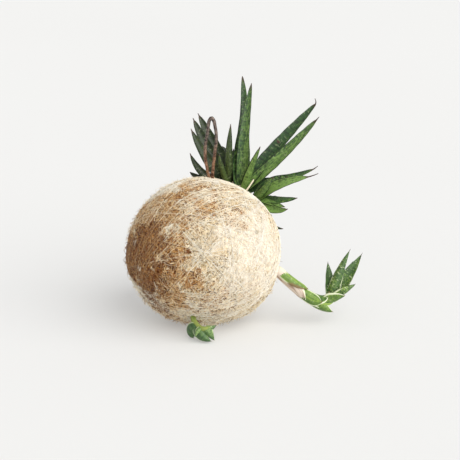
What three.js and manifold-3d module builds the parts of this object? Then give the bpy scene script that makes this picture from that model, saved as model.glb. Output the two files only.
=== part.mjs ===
// Kokedama: a small rosette plant whose roots sit in a ball of soil, wrapped in moss, bound with
// thread, and fitted with a wire loop to hang it by. Millimetres, +Z up, front towards -Y.
// The origin is the middle of the flat spot that the ball rests on.

import * as THREE from "three";
import { mergeVertices } from "three/addons/utils/BufferGeometryUtils.js";
import Module from "manifold-3d";

const wasm = await Module();
wasm.setup();

// Driving dimensions of the ball
const BALL_X = 47.6;
const BALL_Y = 46.8;
const BALL_Z = 46.2;
const REST_RADIUS = 13;
const MOSS_THICKNESS = 6;
const GAP = 0.3;
const CENTRE_Z = BALL_Z * Math.sqrt(1 - (REST_RADIUS / BALL_X) ** 2);
const CENTRE = new THREE.Vector3(0, 0, CENTRE_Z);
const MOSS_DETAIL = 8;
const SOIL_DETAIL = 5;

// Long soft swells of the moss: waves over the unit sphere, and broad lumps set by direction
const SWELLS = [
  { along: [4.3, 0.8, 2.1], start: 0.6, height: 0.3 },
  { along: [-2.7, 5.1, 0.9], start: 1.9, height: 0.25 },
  { along: [1.2, 3.4, 6.2], start: -0.8, height: 0.2 },
];
const LUMPS = [
  { towards: [0.8, -0.2, -0.56], height: 1.2, spread: 0.5 },
  { towards: [-0.98, -0.1, -0.12], height: 0.8, spread: 0.22 },
  { towards: [-0.6, -0.3, -0.74], height: 0.7, spread: 0.26 },
];

// The relief fades out towards the flat spot, between these heights on the unit sphere
const FLOOR_NEAR = -0.97;
const FLOOR_CLEAR = -0.8;

// Thread wound round the moss: three-sided strands, each a loop close to a great circle. A loop may
// pass as near to a shoot as the swerve, a share of the clear angle, and is steered past it.
const THREAD_WIDTH = 1;
const THREAD_HEIGHT = 0.9;
const THREAD_LIFT = 0.72;
const THREAD_STEPS = 42;
const THREAD_LOOPS = 8;
const THREAD_SEED = 452;
const THREAD_SHIFT = 0.3;
const THREAD_SWERVE = 0.5;
const STEER_STEPS = 12;

// Wire loop, as points across and up from its foot on the moss, from one buried end to the other
const WIRE_DIAMETER = 1.5;
const WIRE_FOOT = { x: 4.6, y: 8 };
const WIRE_SIDES = 6;
const WIRE_STEPS = 50;
const WIRE_PROFILE = [
  [2.4, -20], [1.6, -8], [1.05, 0], [1.6, 6.6], [2.5, 13], [3.1, 18], [3.4, 24], [3.3, 31],
  [2.2, 36.2], [0.3, 38.6], [-1.7, 37], [-2.8, 32], [-3.2, 24], [-3.5, 18], [-3.4, 13],
  [-2.3, 6.6], [-1.05, 0], [-1.6, -8], [-2.4, -20],
];

// Leafy shoots. Each foot is a point on the moss and each axis the way its short stem leans.
// A leaf rises from the stem, bends at its knee and ends at its tip, and its channel faces one way.
const STEM_RADIUS = 3;
const STEM_ABOVE = 4;
const STEM_BELOW = 15;
const LEAF_ROOT = 1.6;
const STEM_SIDES = 8;
const LEFT_SHOOT = {
  foot: [15, 32.2, 76.2],
  axis: [0.05, 0.25, 0.97],
  leaves: [
    { tip: [-4, 50, 121], knee: [8, 41, 99], width: 7.6, faces: [0.2, -0.95, 0.2] },
    { tip: [-7.2, 43, 118.5], knee: [2.8, 37.5, 98], width: 7.4, faces: [0.3, -0.95, 0.1] },
    { tip: [-8, 35, 113], knee: [1.6, 31.6, 93], width: 7, faces: [0.4, -0.85, 0.2] },
    { tip: [-9, 34.4, 98], knee: [-1, 32, 87.6], width: 7, faces: [0.3, -0.85, 0.4] },
    { tip: [-9, 39, 85.5], knee: [-2, 37.5, 86], width: 4, faces: [0.2, -0.8, 0.6] },
    { tip: [9.7, 22.5, 99.7], knee: [12.5, 25, 89], width: 4, faces: [0.2, 0.9, 0.3] },
    { tip: [17, 28.5, 117.5], knee: [16.6, 23.5, 96], width: 5.4, faces: [-0.2, 0.95, 0] },
    { tip: [11, 62, 93], knee: [13.5, 49, 92], width: 7, faces: [0, -0.6, 0.8] },
    { tip: [0.6, 57, 90], knee: [6, 46, 89], width: 6, faces: [0.2, -0.5, 0.8] },
  ],
};
const TALL_SHOOT = {
  foot: [24.5, 28.7, 73.9],
  axis: [0.14, 0.2, 0.97],
  leaves: [
    { tip: [24, 47, 145], knee: [22.2, 35, 98], width: 7.6, faces: [0.2, -0.95, 0.2] },
    { tip: [29.8, 38.5, 143.2], knee: [25.3, 31, 101], width: 8, faces: [-0.2, -0.95, 0.2] },
    { tip: [35.5, 18, 106.5], knee: [29.5, 23, 89], width: 3.8, faces: [-0.4, 0.8, 0.4] },
    { tip: [71, 42.5, 130.8], knee: [45.5, 36, 104], width: 8, faces: [-0.4, -0.8, 0.5] },
    { tip: [71.6, 28, 123.4], knee: [48, 26, 98.5], width: 8, faces: [-0.45, -0.75, 0.5] },
    { tip: [26.8, 71, 110], knee: [25.6, 50, 92], width: 7.6, faces: [0, -0.7, 0.7] },
    { tip: [55, 63, 97], knee: [38, 46, 87], width: 7.6, faces: [-0.4, -0.5, 0.8] },
    { tip: [44.5, 30, 83.5], knee: [34, 29, 81], width: 7, faces: [-0.3, -0.7, 0.6] },
  ],
};
const RIGHT_SHOOT = {
  foot: [33, 23.6, 70],
  axis: [0.45, 0.2, 0.87],
  leaves: [
    { tip: [71.2, 20, 93.2], knee: [45, 20.5, 84.5], width: 7.4, faces: [-0.2, -0.8, 0.6] },
    { tip: [71.6, 11, 91.6], knee: [46, 14.5, 81.5], width: 7.6, faces: [-0.2, -0.8, 0.6] },
    { tip: [43.3, 10.5, 89.2], knee: [37.5, 15, 79.5], width: 4.6, faces: [0.4, 0.8, 0.2] },
    { tip: [58.4, 16, 74.3], knee: [44, 18.5, 74.5], width: 6, faces: [0, -0.8, 0.6] },
    { tip: [51, 14.3, 69.4], knee: [42, 17.5, 72], width: 4.6, faces: [0.2, -0.7, 0.7] },
    { tip: [52.4, 8, 68.8], knee: [42.5, 14, 69.5], width: 4.8, faces: [0.2, -0.7, 0.7] },
    { tip: [50.2, 17.5, 53.6], knee: [42, 32, 58], width: 3.2, faces: [0.4, 0.5, 0.7] },
    { tip: [62, 46, 72], knee: [44, 37, 73], width: 7, faces: [-0.2, -0.2, 0.95] },
    { tip: [46, 52, 63], knee: [38, 38, 68], width: 5.6, faces: [0, 0, 1] },
  ],
};

// Leaf form shared by all shoots: its section is an arc of a set half angle, in radians
const LEAF_SPLITS = [-1, -0.38, 0.38, 1];
const LEAF_CUP = 0.9;
const LEAF_THICKNESS = 1.9;
const LEAF_EDGE = 0.7;
const LEAF_THINNING = 0.6;
const LEAF_SPACING = 9;
const LEAF_LEAST_SPANS = 4;
const WAIST_PHASE = 0.2;
const WAIST_STRETCH = 0.8;
const CROWN_TAPER = 0.62;
const YOUNG_TAPER = 0.9;
const LEAF_PLACE = 0.96;

// Clasping scales of the young shoots
const SCALE_SPANS = 5;
const SCALE_THICKNESS = 1;
const SCALE_ROUNDING = 2.2;
const SCALE_TIP = 0.08;
const SCALE_SUNK = 0.7;
const SCALE_FREE = 1.2;

// Runner: a sheathed stem that leaves the moss low on the right and ends in a small fan.
// A clasping scale covers a share of the stem's length and turns to one side of it.
const RUNNER = {
  path: [
    [32, -1, 43], [39.5, -2.5, 37.4], [47.2, -4.5, 31.2], [54.5, -7.5, 25.4], [63.5, -10.5, 18.8],
    [71.5, -12.4, 15], [77, -12.6, 15], [81, -12, 17.6],
  ],
  radius: 2.6,
  steps: 16,
  scales: [
    { from: 0.37, to: 0.62, side: 0, wrap: 75 },
    { from: 0.56, to: 0.78, side: 5, wrap: 100 },
    { from: 0.68, to: 0.94, side: -25, wrap: 110 },
    { from: 0.66, to: 0.92, side: 150, wrap: 100 },
  ],
  leaves: [
    { tip: [77.8, 1.5, 36.4], knee: [76.6, -5.5, 25.5], width: 5.8, faces: [0.5, -0.8, 0.1] },
    { tip: [91.2, -3.6, 46.3], knee: [80.4, -10, 31], width: 8.4, faces: [0.3, 0.9, 0] },
    { tip: [93.4, 0.8, 37], knee: [86, -6, 28], width: 4.6, faces: [-0.3, -0.7, 0.6] },
    { tip: [99, -1.5, 43.6], knee: [87, -8.5, 28], width: 8, faces: [-0.3, -0.9, 0.3] },
    { tip: [94.2, -13, 27], knee: [87, -15, 22.5], width: 6.4, faces: [-0.2, 0.8, 0.6] },
    { tip: [87.6, -18, 21.2], knee: [81, -17, 18.5], width: 8, faces: [-0.2, 0.9, 0.4], at: 0.88 },
    { tip: [80, -18, 9.8], knee: [74, -18, 11.5], width: 8, faces: [-0.2, 0.9, 0.3], at: 0.8 },
    { tip: [86, 4, 30], knee: [80, -4, 23], width: 5, faces: [0, -0.6, 0.8] },
  ],
};

// Young shoot that comes out under the ball's front and lies along the surface
const BUD = {
  path: [
    [-3, -19, 25], [-4.4, -27, 17.6], [-5.4, -33, 12.2], [-3.8, -37.6, 9.2], [-1, -40, 7.4],
    [3, -40.5, 6.6],
  ],
  radius: 1.7,
  steps: 10,
  scales: [{ from: 0.63, to: 0.98, side: 0, wrap: 90 }],
  leaves: [
    { tip: [-6, -43.4, 3], knee: [-11, -40, 8], width: 7.6, faces: [0.5, 0.8, 0.1], at: 0.68 },
    { tip: [5.2, -44.4, 2.2], knee: [-5, -44.6, 4], width: 9.6, faces: [0.1, 0.8, 0.5], at: 0.78 },
    { tip: [7.4, -41.4, 2.4], knee: [2, -42.4, 5], width: 8, faces: [0.2, 0.7, 0.7], at: 0.9 },
    { tip: [8.4, -40.5, 10.3], knee: [5, -41, 9.4], width: 6, faces: [0.3, 0.8, -0.4] },
    { tip: [-7.5, -38, 3.4], knee: [-9, -37, 7], width: 5, faces: [0.6, 0.2, 0.7], at: 0.64 },
  ],
};

const HOLE_CLEARANCE = GAP / Math.cos(Math.PI / STEM_SIDES);
const MERGE_DISTANCE = 1e-4;

const GREEN = 0x57703c;
const DARK_GREEN = 0x495238;
const YOUNG_GREEN = 0x93ac4d;

function vector(list) {
  return new THREE.Vector3(...list);
}

/** A solid from a geometry whose faces point out. */
function solidOf(geometry) {
  const bare = geometry.clone();
  bare.deleteAttribute("normal");
  bare.deleteAttribute("uv");
  const merged = mergeVertices(bare, MERGE_DISTANCE);
  return new wasm.Manifold(new wasm.Mesh({
    numProp: 3,
    vertProperties: Float32Array.from(merged.attributes.position.array),
    triVerts: Uint32Array.from(merged.index.array),
  }));
}

function geometryOf(solid) {
  const mesh = solid.getMesh();
  const geometry = new THREE.BufferGeometry();
  geometry.setAttribute("position", new THREE.BufferAttribute(mesh.vertProperties, 3));
  geometry.setIndex(new THREE.BufferAttribute(mesh.triVerts, 1));
  geometry.computeVertexNormals();
  return geometry;
}

/** Solids fused into one body, with what the fusing seals inside filled and loose scraps dropped. */
function joined(solids) {
  const bodies = solids.reduce((whole, next) => whole.add(next)).decompose();
  return bodies.reduce((largest, next) => (next.volume() > largest.volume() ? next : largest));
}

function pierced(solid, cutters) {
  return cutters.reduce((rest, cutter) => rest.subtract(cutter), solid);
}

/** A closed solid through rings of points, each ring running up one face and back down the other,
 *  whichever way round the rings go. */
function loft(rings, closed = false) {
  const count = rings[0].length;
  const faces = [];
  const spans = closed ? rings.length : rings.length - 1;
  for (let i = 0; i < spans; i += 1) {
    const here = i * count;
    const next = ((i + 1) % rings.length) * count;
    for (let j = 0; j < count; j += 1) {
      const k = (j + 1) % count;
      faces.push(here + j, here + k, next + k, here + j, next + k, next + j);
    }
  }
  if (!closed) {
    const last = (rings.length - 1) * count;
    for (let j = 0; j < Math.ceil(count / 2) - 1; j += 1) {
      const back = count - 1 - j;
      faces.push(j, back, j + 1, last + j, last + j + 1, last + back);
      if (back - 1 > j + 1) {
        faces.push(j + 1, back, back - 1, last + j + 1, last + back - 1, last + back);
      }
    }
  }
  const geometry = new THREE.BufferGeometry();
  const places = rings.flat().flatMap((p) => [p.x, p.y, p.z]);
  geometry.setAttribute("position", new THREE.Float32BufferAttribute(places, 3));
  geometry.setIndex(faces);
  const solid = solidOf(geometry);
  if (solid.volume() > 0) return solid;
  geometry.setIndex(faces.reverse());
  return solidOf(geometry);
}

/** A round bar of equal section along a curve. */
function bar(curve, radius, sides, steps) {
  const section = new THREE.Shape();
  for (let i = 0; i < sides; i += 1) {
    const turn = (i / sides) * 2 * Math.PI;
    const place = [radius * Math.cos(turn), radius * Math.sin(turn)];
    if (i === 0) section.moveTo(...place);
    else section.lineTo(...place);
  }
  section.closePath();
  return solidOf(new THREE.ExtrudeGeometry(section, { steps, extrudePath: curve, curveSegments: 1 }));
}

/** Distance from the ball's centre to the moss surface in a unit direction. */
function mossRadius(direction) {
  const { x, y, z } = direction;
  const plain = 1 / Math.hypot(x / BALL_X, y / BALL_Y, z / BALL_Z);
  let relief = 0;
  for (const { along, start, height } of SWELLS) {
    relief += height * Math.sin(along[0] * x + along[1] * y + along[2] * z + start);
  }
  for (const { towards, height, spread } of LUMPS) {
    const angle = direction.angleTo(vector(towards));
    relief += height * Math.exp(-((angle / spread) ** 2));
  }
  const settled = THREE.MathUtils.smoothstep(z, FLOOR_NEAR, FLOOR_CLEAR);
  return plain + relief * settled;
}

function mossPoint(direction, lift) {
  return direction.clone().multiplyScalar(mossRadius(direction) + lift).add(CENTRE);
}

/** A ball whose radius in each direction is given, as a fine or coarse mesh of triangles. */
function roundBody(detail, radiusTowards) {
  const geometry = new THREE.IcosahedronGeometry(1, detail);
  const places = geometry.attributes.position;
  const direction = new THREE.Vector3();
  for (let i = 0; i < places.count; i += 1) {
    direction.fromBufferAttribute(places, i).normalize();
    const point = direction.clone().multiplyScalar(radiusTowards(direction)).add(CENTRE);
    places.setXYZ(i, point.x, point.y, point.z);
  }
  return solidOf(geometry);
}

function innerRadius({ x, y, z }, inset) {
  return 1 / Math.hypot(x / (BALL_X - inset), y / (BALL_Y - inset), z / (BALL_Z - inset));
}

/** A leaf from inside its stem to its tip, widest a third of the way up and channelled on one side. */
function leafSolid(foot, taper, { tip, knee, width, faces }) {
  const line = new THREE.QuadraticBezierCurve3(foot, vector(knee), vector(tip));
  const spans = Math.max(LEAF_LEAST_SPANS, Math.round(foot.distanceTo(line.v2) / LEAF_SPACING));
  const rings = [];
  for (let i = 0; i <= spans; i += 1) {
    const t = i / spans;
    const along = line.getTangent(t);
    const across = vector(faces).cross(along).normalize();
    const facing = along.clone().cross(across);
    const phase = WAIST_PHASE + (1 - WAIST_PHASE) * t ** WAIST_STRETCH;
    const swell = Math.sin(Math.PI * phase) ** taper;
    const half = Math.max(width * swell, LEAF_EDGE) / 2;
    const thickness = THREE.MathUtils.lerp(LEAF_THICKNESS, LEAF_EDGE, t ** 2);
    rings.push(crescent(line.getPoint(t), facing, across, half, thickness));
  }
  return loft(rings);
}

/** One cross-section of a leaf: a shallow channel, thick at the middle and thin at the edges. */
function crescent(middle, facing, across, half, thickness) {
  const radius = half / Math.sin(LEAF_CUP);
  const upper = LEAF_SPLITS.map((share) => middle.clone()
    .addScaledVector(across, radius * Math.sin(share * LEAF_CUP))
    .addScaledVector(facing, radius * (1 - Math.cos(share * LEAF_CUP))));
  const lower = upper.map((point, i) => {
    const depth = Math.max(thickness * (1 - LEAF_THINNING * LEAF_SPLITS[i] ** 2), LEAF_EDGE);
    return point.clone().addScaledVector(facing, -depth);
  });
  return [...upper, ...lower.reverse()];
}

/** The short stem of a shoot, from inside the soil to just above the moss. */
function stemSolid(foot, axis, clearance) {
  const length = STEM_ABOVE + STEM_BELOW;
  const radius = STEM_RADIUS + clearance;
  const cylinder = new THREE.CylinderGeometry(radius, radius, length + 2 * clearance, STEM_SIDES);
  const upright = new THREE.Vector3(0, 1, 0);
  cylinder.applyQuaternion(new THREE.Quaternion().setFromUnitVectors(upright, axis));
  const middle = foot.clone().addScaledVector(axis, (STEM_ABOVE - STEM_BELOW) / 2);
  cylinder.translate(middle.x, middle.y, middle.z);
  return solidOf(cylinder);
}

function shootSolid({ foot, axis, leaves }) {
  const base = vector(foot);
  const up = vector(axis).normalize();
  const root = base.clone().addScaledVector(up, LEAF_ROOT);
  return joined([stemSolid(base, up, 0), ...leaves.map((leaf) => leafSolid(root, CROWN_TAPER, leaf))]);
}

/** A scale that clasps a stem: it starts sunk in the stem, wraps round it and ends in a free point. */
function scaleSolid(curve, stemRadius, { from, to, side, wrap }) {
  const rings = [];
  for (let i = 0; i <= SCALE_SPANS; i += 1) {
    const t = i / SCALE_SPANS;
    const place = THREE.MathUtils.lerp(from, to, t);
    const middle = curve.getPointAt(place);
    const along = curve.getTangentAt(place);
    const up = new THREE.Vector3(0, 0, 1).addScaledVector(along, -along.z).normalize();
    const facing = up.applyAxisAngle(along, THREE.MathUtils.degToRad(side));
    const across = new THREE.Vector3().crossVectors(along, facing);
    const half = THREE.MathUtils.degToRad(wrap) * Math.max(1 - t ** SCALE_ROUNDING, SCALE_TIP);
    const inner = stemRadius * THREE.MathUtils.lerp(SCALE_SUNK, SCALE_FREE, t);
    const arc = (radius) => LEAF_SPLITS.map((share) => middle.clone()
      .addScaledVector(facing, radius * Math.cos(share * half))
      .addScaledVector(across, radius * Math.sin(share * half)));
    rings.push([...arc(inner + SCALE_THICKNESS), ...arc(inner).reverse()]);
  }
  return loft(rings);
}

/** A bent stem with its clasping scales, and the leaves that spread from its end. */
function runnerSolid({ path, radius, steps, scales, leaves }) {
  const curve = new THREE.CatmullRomCurve3(path.map(vector));
  return joined([
    bar(curve, radius, STEM_SIDES, steps),
    ...scales.map((scale) => scaleSolid(curve, radius, scale)),
    ...leaves.map((leaf) => leafSolid(curve.getPointAt(leaf.at ?? LEAF_PLACE), YOUNG_TAPER, leaf)),
  ]);
}

/** A hole that clears a bar along the same points, and runs past the bar's ends. */
function barHole(points, radius, sides, steps) {
  const beyond = (end, next) => end.clone().lerp(next, -GAP / end.distanceTo(next));
  const longer = [
    beyond(points[0], points[1]),
    ...points.slice(1, -1),
    beyond(points.at(-1), points.at(-2)),
  ];
  return bar(new THREE.CatmullRomCurve3(longer), radius + HOLE_CLEARANCE, sides, steps);
}

/** Turns a direction aside where it comes within an obstacle's clear angle. */
function steered(direction, obstacles) {
  let result = direction.clone();
  for (const { from, to, clear, reach } of obstacles) {
    const span = from.angleTo(to);
    let nearest = from;
    for (let i = 1; i <= STEER_STEPS && span > 0; i += 1) {
      const along = from.clone().lerp(to, i / STEER_STEPS).normalize();
      if (along.angleTo(result) < nearest.angleTo(result)) nearest = along;
    }
    const angle = nearest.angleTo(result);
    if (angle < reach) {
      const wanted = clear + (angle * (reach - clear)) / reach;
      const axis = new THREE.Vector3().crossVectors(nearest, result).normalize();
      result = nearest.clone().applyAxisAngle(axis, wanted);
    }
  }
  return result;
}

/** Repeatable draws between 0 and 1. */
function seededDraws(seed) {
  let state = seed;
  return () => {
    state = (state * 16807) % 2147483647;
    return state / 2147483647;
  };
}

function towards(place) {
  return vector(place).sub(CENTRE).normalize();
}

/** One closed strand of thread, lying flat on the moss. */
function strandSolid(normal, shift, obstacles) {
  const start = new THREE.Vector3(0, 0, 1).cross(normal).normalize();
  const places = [];
  for (let i = 0; i < THREAD_STEPS; i += 1) {
    const turn = (i / THREAD_STEPS) * 2 * Math.PI;
    const flat = start.clone().applyAxisAngle(normal, turn);
    const direction = flat.multiplyScalar(Math.cos(shift)).addScaledVector(normal, Math.sin(shift));
    places.push(steered(direction, obstacles));
  }
  const rings = places.map((direction, i) => {
    const before = places[(i + THREAD_STEPS - 1) % THREAD_STEPS];
    const after = places[(i + 1) % THREAD_STEPS];
    const along = after.clone().sub(before).normalize();
    const across = new THREE.Vector3().crossVectors(along, direction).normalize();
    const low = mossPoint(direction, THREAD_LIFT);
    const crest = mossPoint(direction, THREAD_LIFT + THREAD_HEIGHT);
    return [
      low.clone().addScaledVector(across, THREAD_WIDTH / 2),
      crest,
      low.clone().addScaledVector(across, -THREAD_WIDTH / 2),
    ];
  });
  return loft(rings, true);
}

/** Loops that pass clear of the shoots, the wire and the flat spot, or nearly, and are steered past. */
function windingSolid(obstacles) {
  const draw = seededDraws(THREAD_SEED);
  const strands = [];
  while (strands.length < THREAD_LOOPS) {
    const height = 2 * draw() - 1;
    const turn = 2 * Math.PI * draw();
    const level = Math.sqrt(1 - height * height);
    const normal = new THREE.Vector3(level * Math.cos(turn), level * Math.sin(turn), height);
    const shift = THREAD_SHIFT * (draw() - 0.5);
    const passes = obstacles.every(({ from, to, clear }) => {
      const sides = [from, to].map((end) => Math.asin(end.dot(normal)) - shift);
      return sides[0] * sides[1] > 0 && Math.min(...sides.map(Math.abs)) > THREAD_SWERVE * clear;
    });
    if (passes) strands.push(strandSolid(normal, shift, obstacles));
  }
  return joined(strands);
}

const wireFoot = towards([WIRE_FOOT.x, WIRE_FOOT.y, CENTRE_Z + BALL_Z]);
const wireBase = mossPoint(wireFoot, 0);
const wirePoints = WIRE_PROFILE.map(
  ([across, up]) => new THREE.Vector3(wireBase.x + across, wireBase.y, wireBase.z + up),
);

const SPOKE = {
  left: towards(LEFT_SHOOT.foot),
  right: towards(RIGHT_SHOOT.foot),
  runner: towards(RUNNER.path[2]),
  bud: towards(BUD.path[2]),
  down: new THREE.Vector3(0, 0, -1),
};
const OBSTACLES = [
  { from: SPOKE.down, to: SPOKE.down, clear: 0.45, reach: 0.8 },
  { from: SPOKE.bud, to: SPOKE.bud, clear: 0.14, reach: 0.32 },
  { from: SPOKE.runner, to: SPOKE.runner, clear: 0.13, reach: 0.3 },
  { from: wireFoot, to: wireFoot, clear: 0.09, reach: 0.25 },
  { from: SPOKE.left, to: SPOKE.right, clear: 0.17, reach: 0.4 },
];

const wireCurve = new THREE.CatmullRomCurve3(wirePoints);
const wire = bar(wireCurve, WIRE_DIAMETER / 2, WIRE_SIDES, WIRE_STEPS);
const holes = [
  ...[LEFT_SHOOT, TALL_SHOOT, RIGHT_SHOOT].map(({ foot, axis }) => (
    stemSolid(vector(foot), vector(axis).normalize(), HOLE_CLEARANCE))),
  ...[RUNNER, BUD].map(({ path, radius, steps }) => (
    barHole(path.map(vector), radius, STEM_SIDES, steps))),
  barHole(wirePoints, WIRE_DIAMETER / 2, WIRE_SIDES, WIRE_STEPS),
];

const floorBlock = new THREE.BoxGeometry(3 * BALL_X, 3 * BALL_Y, BALL_Z);
floorBlock.translate(0, 0, -BALL_Z / 2);
const mossShell = roundBody(MOSS_DETAIL, mossRadius)
  .subtract(roundBody(SOIL_DETAIL, (direction) => innerRadius(direction, MOSS_THICKNESS)))
  .subtract(solidOf(floorBlock));
const moss = pierced(mossShell, holes);
const soil = pierced(
  roundBody(SOIL_DETAIL, (direction) => innerRadius(direction, MOSS_THICKNESS + GAP)),
  holes,
);

const kokedama = new THREE.Group();

function addPiece(name, solid, color, roughness, metalness = 0) {
  const mesh = new THREE.Mesh(
    geometryOf(solid),
    new THREE.MeshStandardMaterial({ color, roughness, metalness }),
  );
  mesh.name = name;
  kokedama.add(mesh);
}

addPiece("moss_wrap", moss, 0xd9c4a5, 1);
addPiece("root_ball", soil, 0x3d2b20, 1);
addPiece("winding_thread", windingSolid(OBSTACLES), 0xefe9dc, 0.7);
addPiece("wire_loop", wire, 0x7d5a3f, 0.4, 1);
addPiece("shoot_left", shootSolid(LEFT_SHOOT), DARK_GREEN, 0.5);
addPiece("shoot_tall", shootSolid(TALL_SHOOT), GREEN, 0.5);
addPiece("shoot_right", shootSolid(RIGHT_SHOOT), GREEN, 0.5);
addPiece("runner_shoot", runnerSolid(RUNNER), YOUNG_GREEN, 0.5);
addPiece("bottom_shoot", runnerSolid(BUD), GREEN, 0.5);

export default kokedama;
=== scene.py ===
"""Kokedama moss ball plant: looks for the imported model.

A ball of soil is wrapped in dried moss, bound with many turns of fine thread, and has a wire loop to
hang it by. Three stiff-leaved shoots grow from its top, a runner leaves its side and a young shoot
comes out under its front. Sizes in the classes are millimetres; meshes are made in metres.
"""

import logging
import math
from collections.abc import Sequence
from dataclasses import asdict, dataclass, field
from enum import Enum
from functools import cache

import bmesh
import bpy
import numpy as np
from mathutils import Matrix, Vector


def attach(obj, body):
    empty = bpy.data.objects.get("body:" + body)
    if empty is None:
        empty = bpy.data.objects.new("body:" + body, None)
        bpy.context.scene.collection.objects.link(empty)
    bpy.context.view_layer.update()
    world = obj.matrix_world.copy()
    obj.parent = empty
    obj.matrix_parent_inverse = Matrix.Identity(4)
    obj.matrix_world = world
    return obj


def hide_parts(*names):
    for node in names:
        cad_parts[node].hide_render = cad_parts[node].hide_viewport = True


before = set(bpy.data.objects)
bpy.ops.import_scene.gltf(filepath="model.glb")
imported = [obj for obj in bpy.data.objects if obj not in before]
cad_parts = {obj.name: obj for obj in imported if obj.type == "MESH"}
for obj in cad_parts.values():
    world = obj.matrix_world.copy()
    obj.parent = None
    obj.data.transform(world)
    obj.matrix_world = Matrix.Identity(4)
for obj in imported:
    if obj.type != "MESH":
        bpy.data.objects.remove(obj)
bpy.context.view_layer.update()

log = logging.getLogger("kokedama")

MM = 0.001
BODY = "root"
UP = np.array([0.0, 0.0, 1.0])
BACK = np.array([0.0, 1.0, 0.0])
Triple = tuple[float, float, float]
Colour = tuple[float, float, float, float]
Faces = list[tuple[int, ...]]


def srgb(red: float, green: float, blue: float) -> Colour:
    """Turns a colour from 0 to 255 on a screen into the linear colour that a shader takes.

    Args:
        red: Red, from 0 to 255.
        green: Green, from 0 to 255.
        blue: Blue, from 0 to 255.

    Returns:
        The linear colour with full alpha.
    """
    shares = [channel / 255 for channel in (red, green, blue)]
    linear = [s / 12.92 if s <= 0.04045 else ((s + 0.055) / 1.055) ** 2.4 for s in shares]
    return (*linear, 1.0)


class Value:
    """A node's output that takes part in Python arithmetic, adding a Math node for each step."""

    def __init__(self, graph: "Graph", socket: bpy.types.NodeSocket) -> None:
        """Wraps a socket of a graph."""
        self.graph = graph
        self.socket = socket

    def _step(self, operation: str, *operands: "Value | float") -> "Value":
        """Adds one Math node on the operands."""
        return self.graph.value("ShaderNodeMath", {"operation": operation}, dict(enumerate(operands)))

    def __add__(self, other: "Value | float") -> "Value":
        """Adds."""
        return self._step("ADD", self, other)

    __radd__ = __add__

    def __sub__(self, other: "Value | float") -> "Value":
        """Subtracts other from this."""
        return self._step("SUBTRACT", self, other)

    def __rsub__(self, other: "Value | float") -> "Value":
        """Subtracts this from other."""
        return self._step("SUBTRACT", other, self)

    def __mul__(self, other: "Value | float") -> "Value":
        """Multiplies."""
        return self._step("MULTIPLY", self, other)

    __rmul__ = __mul__

    def __truediv__(self, other: "Value | float") -> "Value":
        """Divides by other."""
        return self._step("DIVIDE", self, other)

    def __rtruediv__(self, other: "Value | float") -> "Value":
        """Divides other by this."""
        return self._step("DIVIDE", other, self)

    def __pow__(self, other: "Value | float") -> "Value":
        """Raises to a power."""
        return self._step("POWER", self, other)

    def size(self) -> "Value":
        """Gives the value without its sign."""
        return self._step("ABSOLUTE", self)

    def most(self, other: "Value | float") -> "Value":
        """Gives the larger of the two."""
        return self._step("MAXIMUM", self, other)

    def eased(self, low: float, high: float) -> "Value":
        """Rises smoothly from 0 at low to 1 at high, or falls where high is the lower one.

        Args:
            low: Where the result is 0.
            high: Where the result is 1.

        Returns:
            The share between them.
        """
        inputs = {"Value": self, "From Min": low, "From Max": high}
        return self.graph.value("ShaderNodeMapRange", {"interpolation_type": "SMOOTHSTEP"}, inputs)


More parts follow.
